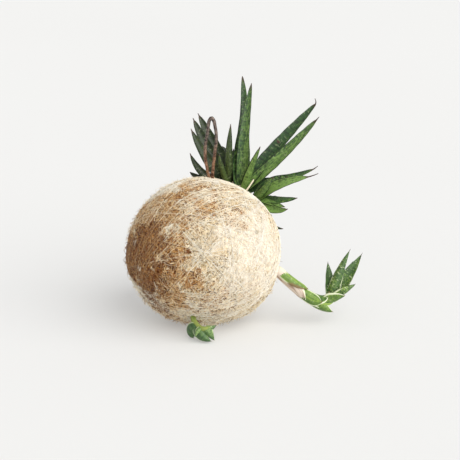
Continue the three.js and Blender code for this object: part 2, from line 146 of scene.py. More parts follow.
class Graph:
    """A shader or geometry node tree under construction."""

    def __init__(self, tree: bpy.types.NodeTree) -> None:
        """Starts on a tree."""
        self.tree = tree

    def node(
        self,
        kind: str,
        settings: dict[str, object] | None = None,
        inputs: dict[str | int, object] | None = None,
    ) -> bpy.types.Node:
        """Adds one node.

        Args:
            kind: The node's type.
            settings: Its properties, which are set first. Stops fill a colour ramp.
            inputs: A value or a link for each of its sockets, by name or number.

        Returns:
            The node.
        """
        made = self.tree.nodes.new(kind)
        for name, setting in (settings or {}).items():
            if name == "stops":
                self._fill_ramp(made.color_ramp, setting)
            else:
                setattr(made, name, setting)
        for key, given in (inputs or {}).items():
            if isinstance(given, Value):
                self.tree.links.new(given.socket, made.inputs[key])
            else:
                made.inputs[key].default_value = given
        return made

    def value(
        self,
        kind: str,
        settings: dict[str, object] | None = None,
        inputs: dict[str | int, object] | None = None,
        output: str | int = 0,
    ) -> Value:
        """Adds one node and gives one of its outputs."""
        return Value(self, self.node(kind, settings, inputs).outputs[output])

    @staticmethod
    def _fill_ramp(ramp: bpy.types.ColorRamp, stops: Sequence[tuple[float, Colour]]) -> None:
        """Sets a ramp's stops.

        Args:
            ramp: The ramp, which starts with two stops.
            stops: The place and the colour of each stop.
        """
        while len(ramp.elements) < len(stops):
            ramp.elements.new(1.0)
        for element, (place, colour) in zip(ramp.elements, stops):
            element.position = place
            element.color = colour

    def vector(self, operation: str, *operands: object) -> Value:
        """Adds one Vector Math node.

        Args:
            operation: What it does.
            *operands: Its values or links. The second one of SCALE is a number.

        Returns:
            The vector, or the number that DOT_PRODUCT gives.
        """
        keys = (0, "Scale") if operation == "SCALE" else (0, 1)
        output = "Value" if operation == "DOT_PRODUCT" else "Vector"
        return self.value("ShaderNodeVectorMath", {"operation": operation}, dict(zip(keys, operands)), output)

    def mix(self, share: Value | float, first: object, second: object, mode: str = "MIX") -> Value:
        """Mixes two colours.

        Args:
            share: 0 for the first colour, 1 for the second.
            first: A colour or a link.
            second: A colour or a link.
            mode: How the second goes over the first.

        Returns:
            The mixed colour.
        """
        settings = {"data_type": "RGBA", "blend_type": mode}
        return self.value("ShaderNodeMix", settings, {0: share, 6: first, 7: second}, 2)

    def ramp(self, share: Value, *stops: tuple[float, Colour]) -> Value:
        """Turns a share into a colour through stops."""
        return self.value("ShaderNodeValToRGB", {"stops": stops}, {0: share})

    def noise(self, place: Value, grain: float, detail: float = 2.0, offset: float = 0.0) -> Value:
        """Gives soft noise from about 0.3 to 0.7.

        Args:
            place: Where, in metres.
            grain: Size of one lump, in millimetres.
            detail: Number of finer layers.
            offset: Another number gives another pattern.

        Returns:
            The noise.
        """
        inputs = {"Vector": place, "W": offset, "Scale": 1 / (grain * MM), "Detail": detail}
        return self.value("ShaderNodeTexNoise", {"noise_dimensions": "4D"}, inputs)

    def scaled(self, place: Value, factors: Triple) -> Value:
        """Stretches a place along its axes."""
        return self.value("ShaderNodeMapping", {}, {"Vector": place, "Scale": factors})

    def attribute(self, name: str) -> Value:
        """Reads a number that the mesh holds at each point."""
        return self.value("ShaderNodeAttribute", {"attribute_name": name}, output="Fac")

    def object_place(self) -> Value:
        """Gives the place on the object, in metres."""
        return self.value("ShaderNodeTexCoord", output="Object")

    def bump(self, height: Value, depth: float) -> Value:
        """Turns a height from 0 to 1 into a bumped normal of that depth in millimetres."""
        return self.value("ShaderNodeBump", {}, {"Height": height, "Distance": depth * MM})


# Finishes


@dataclass(frozen=True)
class Finish:
    """A procedural material, made once under its name."""

    name: str
    slot: str

    def surface(self, graph: Graph) -> dict[str, object]:
        """Gives the inputs of the surface shader.

        Args:
            graph: The material's graph.

        Returns:
            A value or a link for each socket.
        """
        raise NotImplementedError

    @cache
    def material(self) -> bpy.types.Material:
        """Makes the material.

        Returns:
            The material, the same one each time.
        """
        made = bpy.data.materials.new(self.name)
        made.use_nodes = True
        made.node_tree.nodes.clear()
        graph = Graph(made.node_tree)
        shader = graph.value("ShaderNodeBsdfPrincipled", {}, self.surface(graph))
        graph.node("ShaderNodeOutputMaterial", {}, {"Surface": shader})
        return made


class Tint(Enum):
    """What colour a patch of the dried moss has. Brown patches are stains; gold patches are partly golden
    moss and partly painted shade, and pale patches partly paler moss and partly painted light.
    """

    BROWN = "brown"
    GOLD_AND_PAINTED_SHADE = "gold_and_painted_shade"
    OLIVE = "olive"
    PALE = "pale"


@dataclass(frozen=True)
class Patch:
    """A patch of another colour on the moss, some of them stains and some also painted shade and light: its
    direction from the centre and its reach in degrees.
    """

    towards: Triple
    reach: float
    strength: float


@dataclass(frozen=True)
class StainsAndPaintedLight:
    """Where the dried moss has each tint, by direction from the ball's centre, with painted shade and painted
    light laid in among the stains.
    """

    stains: dict[Tint, tuple[Patch, ...]]
    centre: Triple = (0.0, 0.0, 44.44)
    ragged: float = 2.6
    grain: float = 8.0
    edge_at: float = 1.45
    heart_at: float = 0.35
    spread: float = 0.62

    def cover(self, graph: Graph, tint: Tint) -> Value:
        """Gives how much each place is covered by the patches of a tint, with ragged edges.

        Args:
            graph: The material's graph.
            tint: The tint.

        Returns:
            The share: 0 for none, and 1 or more for all.
        """
        place = graph.object_place()
        away = tuple(-MM * part for part in self.centre)
        direction = graph.vector("NORMALIZE", graph.vector("ADD", place, away))
        ragged = (graph.noise(place, self.grain, 6) - 0.5) * self.ragged
        total: Value | float = 0.0
        for stain in self.stains[tint]:
            towards = graph.vector("DOT_PRODUCT", direction, tuple(Vector(stain.towards).normalized()))
            edge = math.cos(math.radians(self.edge_at * stain.reach))
            heart = math.cos(math.radians(self.heart_at * stain.reach))
            total = (towards + ragged * (heart - edge)).eased(edge, heart) * stain.strength + total
        return total.most(0.0)

    def taken(self, graph: Graph, tint: Tint, strand: Value, eager: float = 1.0) -> Value:
        """Gives how far one strand has taken a tint, as each strand takes it at its own cover.

        Args:
            graph: The material's graph.
            tint: The tint.
            strand: The strand's own number, from 0 for the first to take it to 1 for the last.
            eager: How much sooner than moss this kind of strand takes it.

        Returns:
            The share, from 0 to 1.
        """
        first = strand * self.spread
        return (self.cover(graph, tint) * eager).eased(first, first + (1 - self.spread))


STAINS_AND_PAINTED_LIGHT = StainsAndPaintedLight({
    Tint.BROWN: (
        Patch((-0.84, -0.53, 0.07), 19, 1.1),
        Patch((-0.66, -0.64, 0.39), 11, 0.85),
        Patch((-0.71, -0.57, 0.42), 7, 0.75),
        Patch((-0.97, -0.24, 0.02), 12, 1.05),
        Patch((-0.45, -0.80, 0.40), 6, 0.6),
        Patch((-0.46, -0.87, 0.15), 6, 0.8),
        Patch((-0.62, -0.77, -0.12), 13, 0.55),
        Patch((-0.64, -0.63, -0.42), 17, 0.54),
        Patch((-0.10, -0.99, 0.02), 4, 0.45),
        Patch((-0.18, -0.94, 0.30), 1.5, 1.3),
        Patch((-0.10, -0.62, -0.78), 4, 1.2),
        Patch((-0.20, 0.95, 0.20), 24, 0.5),
        Patch((0.60, 0.75, -0.30), 20, 0.45),
        Patch((-0.85, 0.45, -0.30), 18, 0.4),
    ),
    Tint.GOLD_AND_PAINTED_SHADE: (
        # Partly golden moss, partly painted shade that darkens the left half away from the light.
        Patch((-0.53, -0.84, 0.13), 21, 0.85),
        Patch((-0.48, -0.82, -0.30), 15, 0.8),
        Patch((-0.98, 0.0, 0.1), 30, 0.35),
        Patch((-0.39, -0.81, -0.43), 10, 0.75),
        Patch((-0.4, -0.3, -0.87), 24, 0.5),
        # Partly fine specks, partly the painted shadow of a leaf above.
        Patch((0.91, -0.24, 0.33), 6, 0.3),
        Patch((-0.12, -0.98, -0.08), 8, 0.5),
        Patch((0.0, -0.99, 0.0), 9, 0.2),
        Patch((-0.38, -0.85, 0.37), 7, 0.5),
        Patch((0.0, -0.60, 0.80), 6, 0.5),
        Patch((0.37, -0.67, 0.65), 5, 0.4),
        # Partly golden moss, partly painted shade along the top under the leaves.
        Patch((-0.12, -0.13, 0.98), 12, 0.42),
        # These two darken the upper left: partly golden moss, partly painted shade.
        Patch((-0.70, -0.42, 0.58), 23, 0.85),
        Patch((-0.33, -0.58, 0.74), 22, 0.45),
        Patch((0.42, -0.16, 0.89), 10, 0.35),
        Patch((0.18, -0.35, 0.92), 7, 0.35),
        Patch((0.20, -0.60, 0.77), 6, 0.45),
        Patch((0.47, -0.50, 0.72), 5, 0.5),
        Patch((0.51, -0.65, 0.56), 4, 0.5),
        Patch((0.14, -0.89, -0.42), 16, 0.38),
        Patch((0.61, -0.72, -0.30), 10, 0.25),
        Patch((0.0, 0.85, 0.45), 34, 0.75),
        Patch((0.35, 0.85, -0.40), 34, 0.7),
        Patch((-0.75, 0.60, -0.2), 28, 0.6),
    ),
    Tint.OLIVE: (
        Patch((-0.45, -0.50, 0.74), 16, 0.6),
        Patch((-0.05, -0.87, 0.49), 8, 0.3),
        Patch((0.69, -0.57, 0.45), 1.8, 0.5),
        Patch((0.30, 0.60, 0.70), 18, 0.7),
        Patch((0.85, 0.45, 0.10), 14, 0.5),
    ),
    Tint.PALE: (
        # Partly paler moss, partly a painted highlight on the side that faces the light.
        Patch((0.74, -0.64, 0.22), 30, 1.0),
        Patch((0.02, -0.88, 0.47), 10, 0.3),
        Patch((0.0, -0.42, 0.91), 9, 0.3),
        Patch((-0.60, 0.10, 0.80), 22, 0.5),
        Patch((-0.94, -0.05, 0.34), 11, 0.7),
        # Painted light that lifts the shade low on the front, near where the ball rests.
        Patch((0.25, -0.80, -0.60), 20, 0.25),
    ),
})
CREAM = srgb(252, 242, 220)
PALE_STRAW = srgb(239, 218, 177)
STRAW = srgb(222, 184, 124)
TAN = srgb(190, 138, 78)
RUST = srgb(152, 94, 44)
BARK = srgb(88, 50, 24)
OLIVE = srgb(156, 142, 98)
DUSK = srgb(126, 102, 68)
DULL = srgb(182, 158, 118)
DUN = srgb(224, 201, 158)
# Cream of the pale patches: paler moss and painted light.
BLEACHED_AND_PAINTED_LIGHT = srgb(251, 244, 233)
# Tint multiplied over the gold patches, which also paint shade.
GILT = (1.0, 0.9, 0.7, 1.0)


@dataclass(frozen=True)
class DryFinish(Finish):
    """Dry plant matter whose colour depends on a shade from 0, dark, to 1, light."""

    light: Colour = CREAM
    middle: Colour = PALE_STRAW
    straw: Colour = STRAW
    dark: Colour = TAN
    deep: Colour = RUST
    darkest: Colour = BARK
    shadow: Colour = DUSK
    gap: Colour = DULL
    dun: Colour = DUN
    olive_take: float = 0.55
    pale_take: float = 0.6
    gold_and_painted_shade_take: float = 0.9
    gilding: float = 0.7
    eager: float = 1.0

    def colour(self, graph: Graph, shade: Value, strand: Value) -> Value:
        """Gives the colour.

        Args:
            graph: The material's graph.
            shade: How light the place is.
            strand: Which strand it is on, from 0 to 1, for the edges of the patches.

        Returns:
            The colour.
        """
        # Pale patches lift the shade and mix in bleached cream: paler moss, and painted light where they
        # stand for the light on the right side and low on the front.
        pale = STAINS_AND_PAINTED_LIGHT.cover(graph, Tint.PALE)
        clean = graph.ramp(
            shade + pale * 0.2,
            (0.0, self.shadow), (0.13, self.gap), (0.29, self.dun), (0.46, self.middle), (0.7, self.light),
        )
        clean = graph.mix(pale * self.pale_take, clean, BLEACHED_AND_PAINTED_LIGHT)
        warm = graph.ramp(
            shade,
            (0.0, self.darkest), (0.13, self.deep), (0.34, self.dark), (0.6, self.straw),
            (0.82, self.middle), (1.0, self.light),
        )
        aged = graph.ramp(
            shade, (0.08, self.darkest), (0.42, self.deep), (0.76, self.dark), (1.0, self.straw)
        )
        clean = graph.mix(STAINS_AND_PAINTED_LIGHT.taken(graph, Tint.OLIVE, strand) * self.olive_take, clean, OLIVE)
        # Gold patches mix in the warm ramp: golden moss, and painted shade where they stand for shade on the
        # left, along the top and under a leaf.
        warm = graph.mix(STAINS_AND_PAINTED_LIGHT.taken(graph, Tint.GOLD_AND_PAINTED_SHADE, strand) * self.gold_and_painted_shade_take, clean, warm)
        mixed = graph.mix(STAINS_AND_PAINTED_LIGHT.taken(graph, Tint.BROWN, strand, self.eager), warm, aged)
        # The gold tint is also multiplied in over the gold patches, so it deepens the painted shade there
        # too.
        gilded = STAINS_AND_PAINTED_LIGHT.cover(graph, Tint.GOLD_AND_PAINTED_SHADE).eased(0.0, 0.8) * self.gilding
        return graph.mix(gilded, mixed, GILT, "MULTIPLY")


@dataclass(frozen=True)
class MossFinish(DryFinish):
    """Matted dry moss under the fibres, kept dark: partly the moss's own tan-brown, partly painted shade in
    the gaps between the fibres.
    """

    speck: float = 0.8

    def surface(self, graph: Graph) -> dict[str, object]:
        """Gives the inputs of the surface shader.

        Args:
            graph: The material's graph.

        Returns:
            A value or a link for each socket.
        """
        place = graph.object_place()
        mat = graph.noise(place, 2.0, 4)
        fine = graph.noise(place, self.speck, 2, 3.0)
        # The low offset keeps the shell dark: partly its own colour, partly painted shade between the fibres.
        shade = (mat - 0.5) * 2.2 + (fine - 0.5) * 1.6 + 0.22
        return {
            "Base Color": self.colour(graph, shade, fine.eased(0.35, 0.65)),
            "Roughness": 0.95,
            "Specular IOR Level": 0.2,
            "Normal": graph.bump(fine + mat, 0.5),
        }


@dataclass(frozen=True)
class StrandFinish(DryFinish):
    """Fibre or thread, each strand with its own tone."""

    worn: float = 0.75
    sheen: float = 0.2

    def surface(self, graph: Graph) -> dict[str, object]:
        """Gives the inputs of the surface shader.

        Args:
            graph: The material's graph.

        Returns:
            A value or a link for each socket.
        """
        tone = graph.attribute("tone")
        wear = (graph.noise(graph.object_place(), 1.6, 2, 5.0) - 0.5) * self.worn
        return {
            "Base Color": self.colour(graph, tone + wear, tone),
            "Roughness": 0.8,
            "Specular IOR Level": 0.3,
            "Sheen Weight": self.sheen,
            "Sheen Roughness": 0.5,
        }


@dataclass(frozen=True)
class SoilFinish(Finish):
    """Damp crumbly soil."""

    def surface(self, graph: Graph) -> dict[str, object]:
        """Gives the inputs of the surface shader.

        Args:
            graph: The material's graph.

        Returns:
            A value or a link for each socket.
        """
        place = graph.object_place()
        crumb = graph.noise(place, 1.8, 4)
        stops = ((0.35, srgb(34, 24, 17)), (0.52, srgb(62, 44, 31)), (0.7, srgb(98, 76, 55)))
        return {
            "Base Color": graph.ramp(crumb, *stops),
            "Roughness": 0.95,
            "Normal": graph.bump(crumb, 0.8),
        }


@dataclass(frozen=True)
class WireFinish(Finish):
    """Bare copper wire gone brown: red-brown low down, dull grey-brown round the bend."""

    low: float = 98.0
    high: float = 117.0
    scuff_stretch: Triple = (1.0, 1.0, 0.12)

    def surface(self, graph: Graph) -> dict[str, object]:
        """Gives the inputs of the surface shader.

        Args:
            graph: The material's graph.

        Returns:
            A value or a link for each socket.
        """
        place = graph.object_place()
        height = graph.value("ShaderNodeSeparateXYZ", {}, {0: place}, "Z")
        up = height.eased(self.low * MM, self.high * MM)
        tarnish = graph.noise(place, 1.5, 3)
        copper = graph.ramp(tarnish, (0.38, srgb(84, 54, 39)), (0.62, srgb(160, 122, 94)))
        grey = graph.ramp(tarnish, (0.38, srgb(56, 48, 46)), (0.64, srgb(136, 120, 110)))
        scuffs = graph.noise(graph.scaled(place, self.scuff_stretch), 0.5, 2)
        return {
            "Base Color": graph.mix(up, copper, grey),
            "Metallic": 0.55,
            "Roughness": scuffs * 0.5 + 0.22,
            "Normal": graph.bump(tarnish, 0.06),
        }


@dataclass(frozen=True)
class LeafFinish(Finish):
    """A stiff leaf: cross-banded green, a darker or paler margin, a brown pointed tip, and one half of its
    channel painted lighter than the other.

    Each stretch turns a place on the leaf (across it, along it and its own number) into metres.
    """

    deep: Colour = srgb(32, 52, 30)
    middle: Colour = srgb(60, 96, 50)
    bright: Colour = srgb(130, 164, 82)
    margin: Colour = srgb(34, 44, 26)
    margin_from: float = 0.86
    margin_ends: float = 1.1
    tip: Colour = srgb(74, 54, 42)
    fleck: Colour = srgb(196, 208, 160)
    flecks: float = 0.25
    fleck_from: float = 0.62
    bands: float = 0.7
    band_stretch: Triple = (0.0011, 0.001, 0.01)
    streak_stretch: Triple = (0.005, 0.00008, 0.01)
    fleck_stretch: Triple = (0.0022, 0.001, 0.01)

    def surface(self, graph: Graph) -> dict[str, object]:
        """Gives the inputs of the surface shader.

        Args:
            graph: The material's graph.

        Returns:
            A value or a link for each socket.
        """
        across, along, reach, tone, scar = map(graph.attribute, ("across", "along", "reach", "tone", "scar"))
        on_leaf = graph.value("ShaderNodeCombineXYZ", {}, {0: across, 1: reach, 2: tone * 7.3})
        banding = graph.noise(graph.scaled(on_leaf, self.band_stretch), 1.4, 2)
        streaks = graph.noise(graph.scaled(on_leaf, self.streak_stretch), 1.0, 2)
        mottle = graph.noise(graph.object_place(), 3.0, 3)
        band = banding.eased(0.32, 0.62) * self.bands
        green = graph.mix(band, self.deep, self.middle)
        # The across term is painted light: one half of the channel is coloured lighter, as if it faced the
        # lamp, and the other half darker.
        tone_and_painted_light = tone * 1.1 - across * 0.25 + (mottle - 0.5) * 0.9 + (streaks - 0.5) * 2.2
        tone_and_painted_light = (tone_and_painted_light + (banding - 0.5) * 0.5 - 0.28).eased(-0.1, 1.1)
        green = graph.mix(tone_and_painted_light, green, self.bright)
        spots = graph.noise(graph.scaled(on_leaf, self.fleck_stretch), 1.3, 1, 4.0)
        spots = spots.eased(self.fleck_from, self.fleck_from + 0.07)
        green = graph.mix(spots * self.flecks, green, self.fleck)
        edge = across.size().eased(self.margin_from, self.margin_from + 0.1)
        edge = edge * along.eased(self.margin_ends, self.margin_ends - 0.3) * tone.eased(-0.02, 0.2)
        green = graph.mix(edge, green, self.margin)
        dry = along.eased(0.9, 0.965).most((scar + (mottle - 0.5) * 1.6).eased(0.3, 0.75))
        return {
            "Base Color": graph.mix(dry, green, self.tip),
            "Roughness": dry * 0.25 + banding * 0.2 + 0.33,
            "Specular IOR Level": 0.45,
            "Normal": graph.bump(streaks * 0.7 + mottle * 0.3, 0.12),
        }


@dataclass(frozen=True)
class StemFinish(Finish):
    """A young stem in its papery sheath: pinkish tan by the moss, green towards its end."""

    papery: Colour = srgb(220, 204, 188)
    vein: Colour = srgb(168, 142, 122)
    green: Colour = srgb(150, 178, 84)
    turns: tuple[float, float] = (0.55, 0.75)
    rim: float = 0.0
    vein_stretch: Triple = (0.006, 0.0001, 1.0)

    def surface(self, graph: Graph) -> dict[str, object]:
        """Gives the inputs of the surface shader.

        Args:
            graph: The material's graph.

        Returns:
            A value or a link for each socket.
        """
        across, along, reach = map(graph.attribute, ("across", "along", "reach"))
        on_stem = graph.value("ShaderNodeCombineXYZ", {}, {0: across, 1: reach})
        veins = graph.noise(graph.scaled(on_stem, self.vein_stretch), 1.0, 2)
        paper = graph.ramp(veins, (0.38, self.vein), (0.52, self.papery))
        end = along.eased(*self.turns).most(across.size().eased(0.86, 0.92) * self.rim)
        return {
            "Base Color": graph.mix(end, paper, self.green),
            "Roughness": 0.6,
            "Normal": graph.bump(veins, 0.15),
        }


@dataclass(frozen=True)
class StageFinish(Finish):
    """Plain pale floor with a faint glow of its own, which keeps the shadow on it soft."""

    colour: Colour = srgb(193, 193, 192)
    shade: float = 0.97
    mottle: float = 400.0
    glow: float = 0.27
    glow_colour: Colour = (1.0, 1.0, 0.99, 1.0)

    def surface(self, graph: Graph) -> dict[str, object]:
        """Gives the inputs of the surface shader.

        Args:
            graph: The material's graph.

        Returns:
            A value or a link for each socket.
        """
        darker = tuple(self.shade * part for part in self.colour[:3]) + (1.0,)
        return {
            "Base Color": graph.mix(graph.noise(graph.object_place(), self.mottle, 1), darker, self.colour),
            "Roughness": 0.9,
            "Emission Color": self.glow_colour,
            "Emission Strength": self.glow,
        }


MOSS = MossFinish("dry_moss", "moss")
FIBRE = StrandFinish("moss_fibre", "moss")
THREAD = StrandFinish(
    "winding_thread", "thread",
    light=srgb(255, 250, 238), middle=srgb(250, 240, 216), straw=srgb(222, 190, 140),
    dark=srgb(192, 148, 94), deep=srgb(152, 108, 66), darkest=srgb(106, 72, 44), shadow=srgb(196, 178, 146),
    gap=srgb(216, 198, 166), dun=srgb(236, 220, 188), eager=1.25, sheen=0.3,
)
SOIL = SoilFinish("damp_soil", "soil")
WIRE = WireFinish("tarnished_wire", "wire")
CROWN_LEAF = LeafFinish("crown_leaf", "leaf")
SHADED_LEAF = LeafFinish(
    "shaded_leaf", "shaded_leaf",
    deep=srgb(34, 43, 25), middle=srgb(52, 68, 36), bright=srgb(88, 108, 52), margin=srgb(26, 32, 21),
)
YOUNG_LEAF = LeafFinish(
    "young_leaf", "young_leaf",
    deep=srgb(52, 78, 40), middle=srgb(88, 124, 58), bright=srgb(158, 188, 84), margin=srgb(228, 236, 198),
    margin_from=0.84, margin_ends=0.62, flecks=0.7, fleck_from=0.6, bands=0.5, tip=srgb(74, 70, 50),
)
SCALE = LeafFinish(
    "clasping_scale", "young_leaf",
    deep=srgb(64, 94, 40), middle=srgb(98, 134, 54), bright=srgb(146, 174, 72), margin=srgb(232, 238, 204),
    margin_from=0.8, margin_ends=1.6, flecks=0.3, tip=srgb(122, 104, 66),
)
BUD_LEAF = LeafFinish(
    "bud_leaf", "young_leaf",
    deep=srgb(48, 78, 40), middle=srgb(74, 110, 56), bright=srgb(150, 178, 104), margin=srgb(190, 206, 162),
    margin_from=0.84, margin_ends=0.7, flecks=0.1, tip=srgb(70, 84, 50),
)
SHEATH = StemFinish("papery_sheath", "young_leaf", green=srgb(240, 236, 206), turns=(0.92, 0.955), rim=1.0)
STEM = StemFinish("young_stem", "young_leaf")
BUD_STEM = StemFinish(
    "bud_stem", "young_leaf", papery=srgb(146, 158, 82), vein=srgb(96, 116, 44), green=srgb(138, 152, 74)
)
STAGE = StageFinish("pale_floor", "")


# Mesh making


@dataclass
class Skin:
    """Points in millimetres, the faces on them, and the numbers that the material reads."""

    points: np.ndarray
    faces: Faces
    marks: dict[str, np.ndarray] = field(default_factory=dict)

    @staticmethod
    def lofted(rings: np.ndarray, marks: dict[str, np.ndarray] | None = None) -> "Skin":
        """Makes a tube with closed ends, facing outwards.

        Args:
            rings: The points of each ring along the tube.
            marks: The numbers at each point.

        Returns:
            The skin.
        """
        count, around = rings.shape[:2]
        faces: Faces = []
        for here in range(0, (count - 1) * around, around):
            beyond = here + around
            for side in range(around):
                other = (side + 1) % around
                faces.append((here + side, here + other, beyond + other, beyond + side))
        faces.append(tuple(reversed(range(around))))
        faces.append(tuple(range((count - 1) * around, count * around)))
        return Skin(rings.reshape(-1, 3), faces, marks or {})._turned_out()

    @staticmethod
    def joined(skins: Sequence["Skin"]) -> "Skin":
        """Puts several skins in one.

        Args:
            skins: The skins, with the same marks.

        Returns:
            One skin of them all.
        """
        points = np.concatenate([skin.points for skin in skins])
        faces: Faces = []
        start = 0
        for skin in skins:
            faces += [tuple(start + corner for corner in face) for face in skin.faces]
            start += len(skin.points)
        marks = {name: np.concatenate([skin.marks[name] for skin in skins]) for name in skins[0].marks}
        return Skin(points, faces, marks)

    def _turned_out(self) -> "Skin":
        """Turns the faces round if they point inwards.

        Returns:
            The same skin.
        """
        volume = 0.0
        for face in self.faces:
            first = self.points[face[0]]
            for one, two in zip(face[1:-1], face[2:]):
                volume += float(np.dot(first, np.cross(self.points[one], self.points[two])))
        if volume < 0:
            self.faces = [face[::-1] for face in self.faces]
        return self

    def piece(self, name: str, finish: Finish | None = None) -> bpy.types.Object:
        """Makes the mesh object.

        Args:
            name: The piece's name.
            finish: Its material, unless a node tree sets that.

        Returns:
            The object, in the scene.
        """
        mesh = bpy.data.meshes.new(name)
        mesh.from_pydata((self.points * MM).tolist(), [], self.faces)
        for mark, numbers in self.marks.items():
            layer = mesh.attributes.new(mark, "FLOAT", "POINT")
            layer.data.foreach_set("value", np.asarray(numbers, np.float32))
        mesh.shade_smooth()
        made = placed(name, mesh)
        if finish:
            dress(made, finish)
        return made


def placed(name: str, data: bpy.types.ID) -> bpy.types.Object:
    """Puts a new object in the scene.

    Args:
        name: Its name.
        data: Its mesh, lamp or lens.

    Returns:
        The object, at the origin.
    """
    made = bpy.data.objects.new(name, data)
    bpy.context.scene.collection.objects.link(made)
    return made


def dress(piece: bpy.types.Object, finish: Finish) -> None:
    """Gives a piece one finish."""
    piece.data.materials.clear()
    piece.data.materials.append(finish.material())


def unit(vectors: np.ndarray) -> np.ndarray:
    """Brings vectors to length 1."""
    return vectors / np.linalg.norm(vectors, axis=-1, keepdims=True)


def full_turn(count: int) -> np.ndarray:
    """Gives equally spaced angles round a circle."""
    return np.linspace(0, 2 * math.pi, count, endpoint=False)


def rings_round(
    line: np.ndarray, reach: np.ndarray, turn: np.ndarray, first: np.ndarray, second: np.ndarray
) -> np.ndarray:
    """Gives rings of points round a line.

    Args:
        line: The middle of each ring.
        reach: The radius of each ring, or of each of its points.
        turn: The angles of the points, alike for all rings or for each.
        first: The axis at no angle, alike for all rings or for each.
        second: The axis at a quarter turn.

    Returns:
        The points of each ring.
    """
    first, second = (np.broadcast_to(axis, line.shape)[:, None] for axis in (first, second))
    spokes = first * np.cos(turn)[..., None] + second * np.sin(turn)[..., None]
    return line[:, None] + reach.reshape(len(line), -1)[:, :, None] * spokes


def along_lengths(line: np.ndarray) -> np.ndarray:
    """Gives each point's distance along a line of points."""
    return np.concatenate([[0.0], np.cumsum(np.linalg.norm(np.diff(line, axis=0), axis=1))])


def sampled(line: np.ndarray, marks: np.ndarray, wanted: np.ndarray) -> np.ndarray:
    """Gives points part way along a line of points, where the marks on it reach wanted numbers."""
    return np.stack([np.interp(wanted, marks, line[:, axis]) for axis in range(3)], axis=1)


def smooth_path(knots: Sequence[Triple], count: int, finer: int = 24) -> np.ndarray:
    """Runs a smooth curve through knots, in equal steps of length.

    Args:
        knots: Points that the curve passes through.
        count: Number of points to give.
        finer: Number of steps from each knot to the next before that.

    Returns:
        The points.
    """
    given = np.array(knots, float)
    held = np.vstack([2 * given[0] - given[1], given, 2 * given[-1] - given[-2]])
    fine: list[np.ndarray] = []
    for before, start, end, after in zip(held, held[1:], held[2:], held[3:]):
        pairs = ((before, start), (start, end), (end, after))
        gap, span, last = [np.linalg.norm(b - a) ** 0.5 for a, b in pairs]
        out = (start - before) / gap - (end - before) / (gap + span) + (end - start) / span
        into = (end - start) / span - (after - start) / (span + last) + (after - end) / last
        for t in np.linspace(0, 1, finer, endpoint=False):
            square, cube = t * t, t * t * t
            fine.append(
                (2 * cube - 3 * square + 1) * start + (3 * square - 2 * cube) * end
                + (cube - 2 * square + t) * span * out + (cube - square) * span * into
            )
    line = np.vstack([*fine, given[-1]])
    steps = along_lengths(line)
    return sampled(line, steps, np.linspace(0, steps[-1], count))


def frames(line: np.ndarray) -> tuple[np.ndarray, np.ndarray, np.ndarray]:
    """Gives the three axes that go along a line.

    Args:
        line: Points of the line.

    Returns:
        The unit vectors along the line, upwards and across, for each point.
    """
    along = unit(np.gradient(line, axis=0))
    upward = unit(UP - along * (along @ UP)[:, None])
    return along, upward, np.cross(along, upward)


@dataclass
class GrownTree:
    """A geometry node tree with named inputs, whose result is kept as a plain mesh.

    The sizes give the kind of each input that it has besides the geometry and the material.
    """

    name: str
    sizes: dict[str, str]

    def __post_init__(self) -> None:
        """Makes the tree's sockets and its input node."""
        tree = bpy.data.node_groups.new(self.name, "GeometryNodeTree")
        for label, kind in {"Geometry": "Geometry", **self.sizes, "Material": "Material"}.items():
            tree.interface.new_socket(label, in_out="INPUT", socket_type=f"NodeSocket{kind}")
        tree.interface.new_socket("Geometry", in_out="OUTPUT", socket_type="NodeSocketGeometry")
        self.graph = Graph(tree)
        self.inputs = self.graph.node("NodeGroupInput")

    def given(self, label: str) -> Value:
        """Gives one of the tree's inputs."""
        return Value(self.graph, self.inputs.outputs[label])

    def ends(self, geometry: Value) -> None:
        """Closes the tree: instances become mesh and the material goes on.

        Args:
            geometry: What the tree has made.
        """
        whole = self.graph.value("GeometryNodeRealizeInstances", {}, {"Geometry": geometry})
        smooth = self.graph.value("GeometryNodeSetShadeSmooth", {}, {"Geometry": whole})
        dressed = self.graph.value(
            "GeometryNodeSetMaterial", {}, {"Geometry": smooth, "Material": self.given("Material")}
        )
        self.graph.node("NodeGroupOutput", {}, {"Geometry": dressed})

    def moved(self, geometry: Value, **change: Value) -> Value:
        """Moves geometry to a Position or by an Offset."""
        return self.graph.value("GeometryNodeSetPosition", {}, {"Geometry": geometry, **change})

    def above_floor(self, geometry: Value, least: float) -> Value:
        """Presses flat what would reach under the floor.

        Args:
            geometry: What may reach too low.
            least: The lowest height that it may have, in millimetres.

        Returns:
            The geometry with nothing lower.
        """
        place = self.graph.value("GeometryNodeInputPosition")
        parts = self.graph.node("ShaderNodeSeparateXYZ", {}, {0: place})
        x, y, z = (Value(self.graph, output) for output in parts.outputs)
        lifted = self.graph.value("ShaderNodeCombineXYZ", {}, {0: x, 1: y, 2: z.most(least * MM)})
        return self.moved(geometry, Position=lifted)

    def grow(self, start: bpy.types.Object, **sizes: object) -> bpy.types.Object:
        """Runs the tree on an object and keeps the result as its mesh.

        Args:
            start: The object that the tree starts from.
            **sizes: Values of the inputs, by label with the spaces as underscores.

        Returns:
            The same object with its new mesh.
        """
        modifier = start.modifiers.new(self.name, "NODES")
        modifier.node_group = self.graph.tree
        for item in self.graph.tree.interface.items_tree:
            key = item.name.replace(" ", "_").lower()
            if item.in_out == "INPUT" and key in sizes:
                modifier[item.identifier] = sizes[key]
        depsgraph = bpy.context.evaluated_depsgraph_get()
        grown = bpy.data.meshes.new_from_object(start.evaluated_get(depsgraph), depsgraph=depsgraph)
        start.modifiers.clear()
        start.data = grown
        start.data.name = start.name
        return start


# The ball


@dataclass(frozen=True)
class Lump:
    """A low hill or a hollow on the ball: its direction, its height and its spread as an angle."""

    towards: Triple
    height: float
    spread: float


@dataclass(frozen=True)
class Swell:
    """A wave over the whole ball: how it runs, where it starts and its height."""

    wave: Triple
    start: float
    height: float


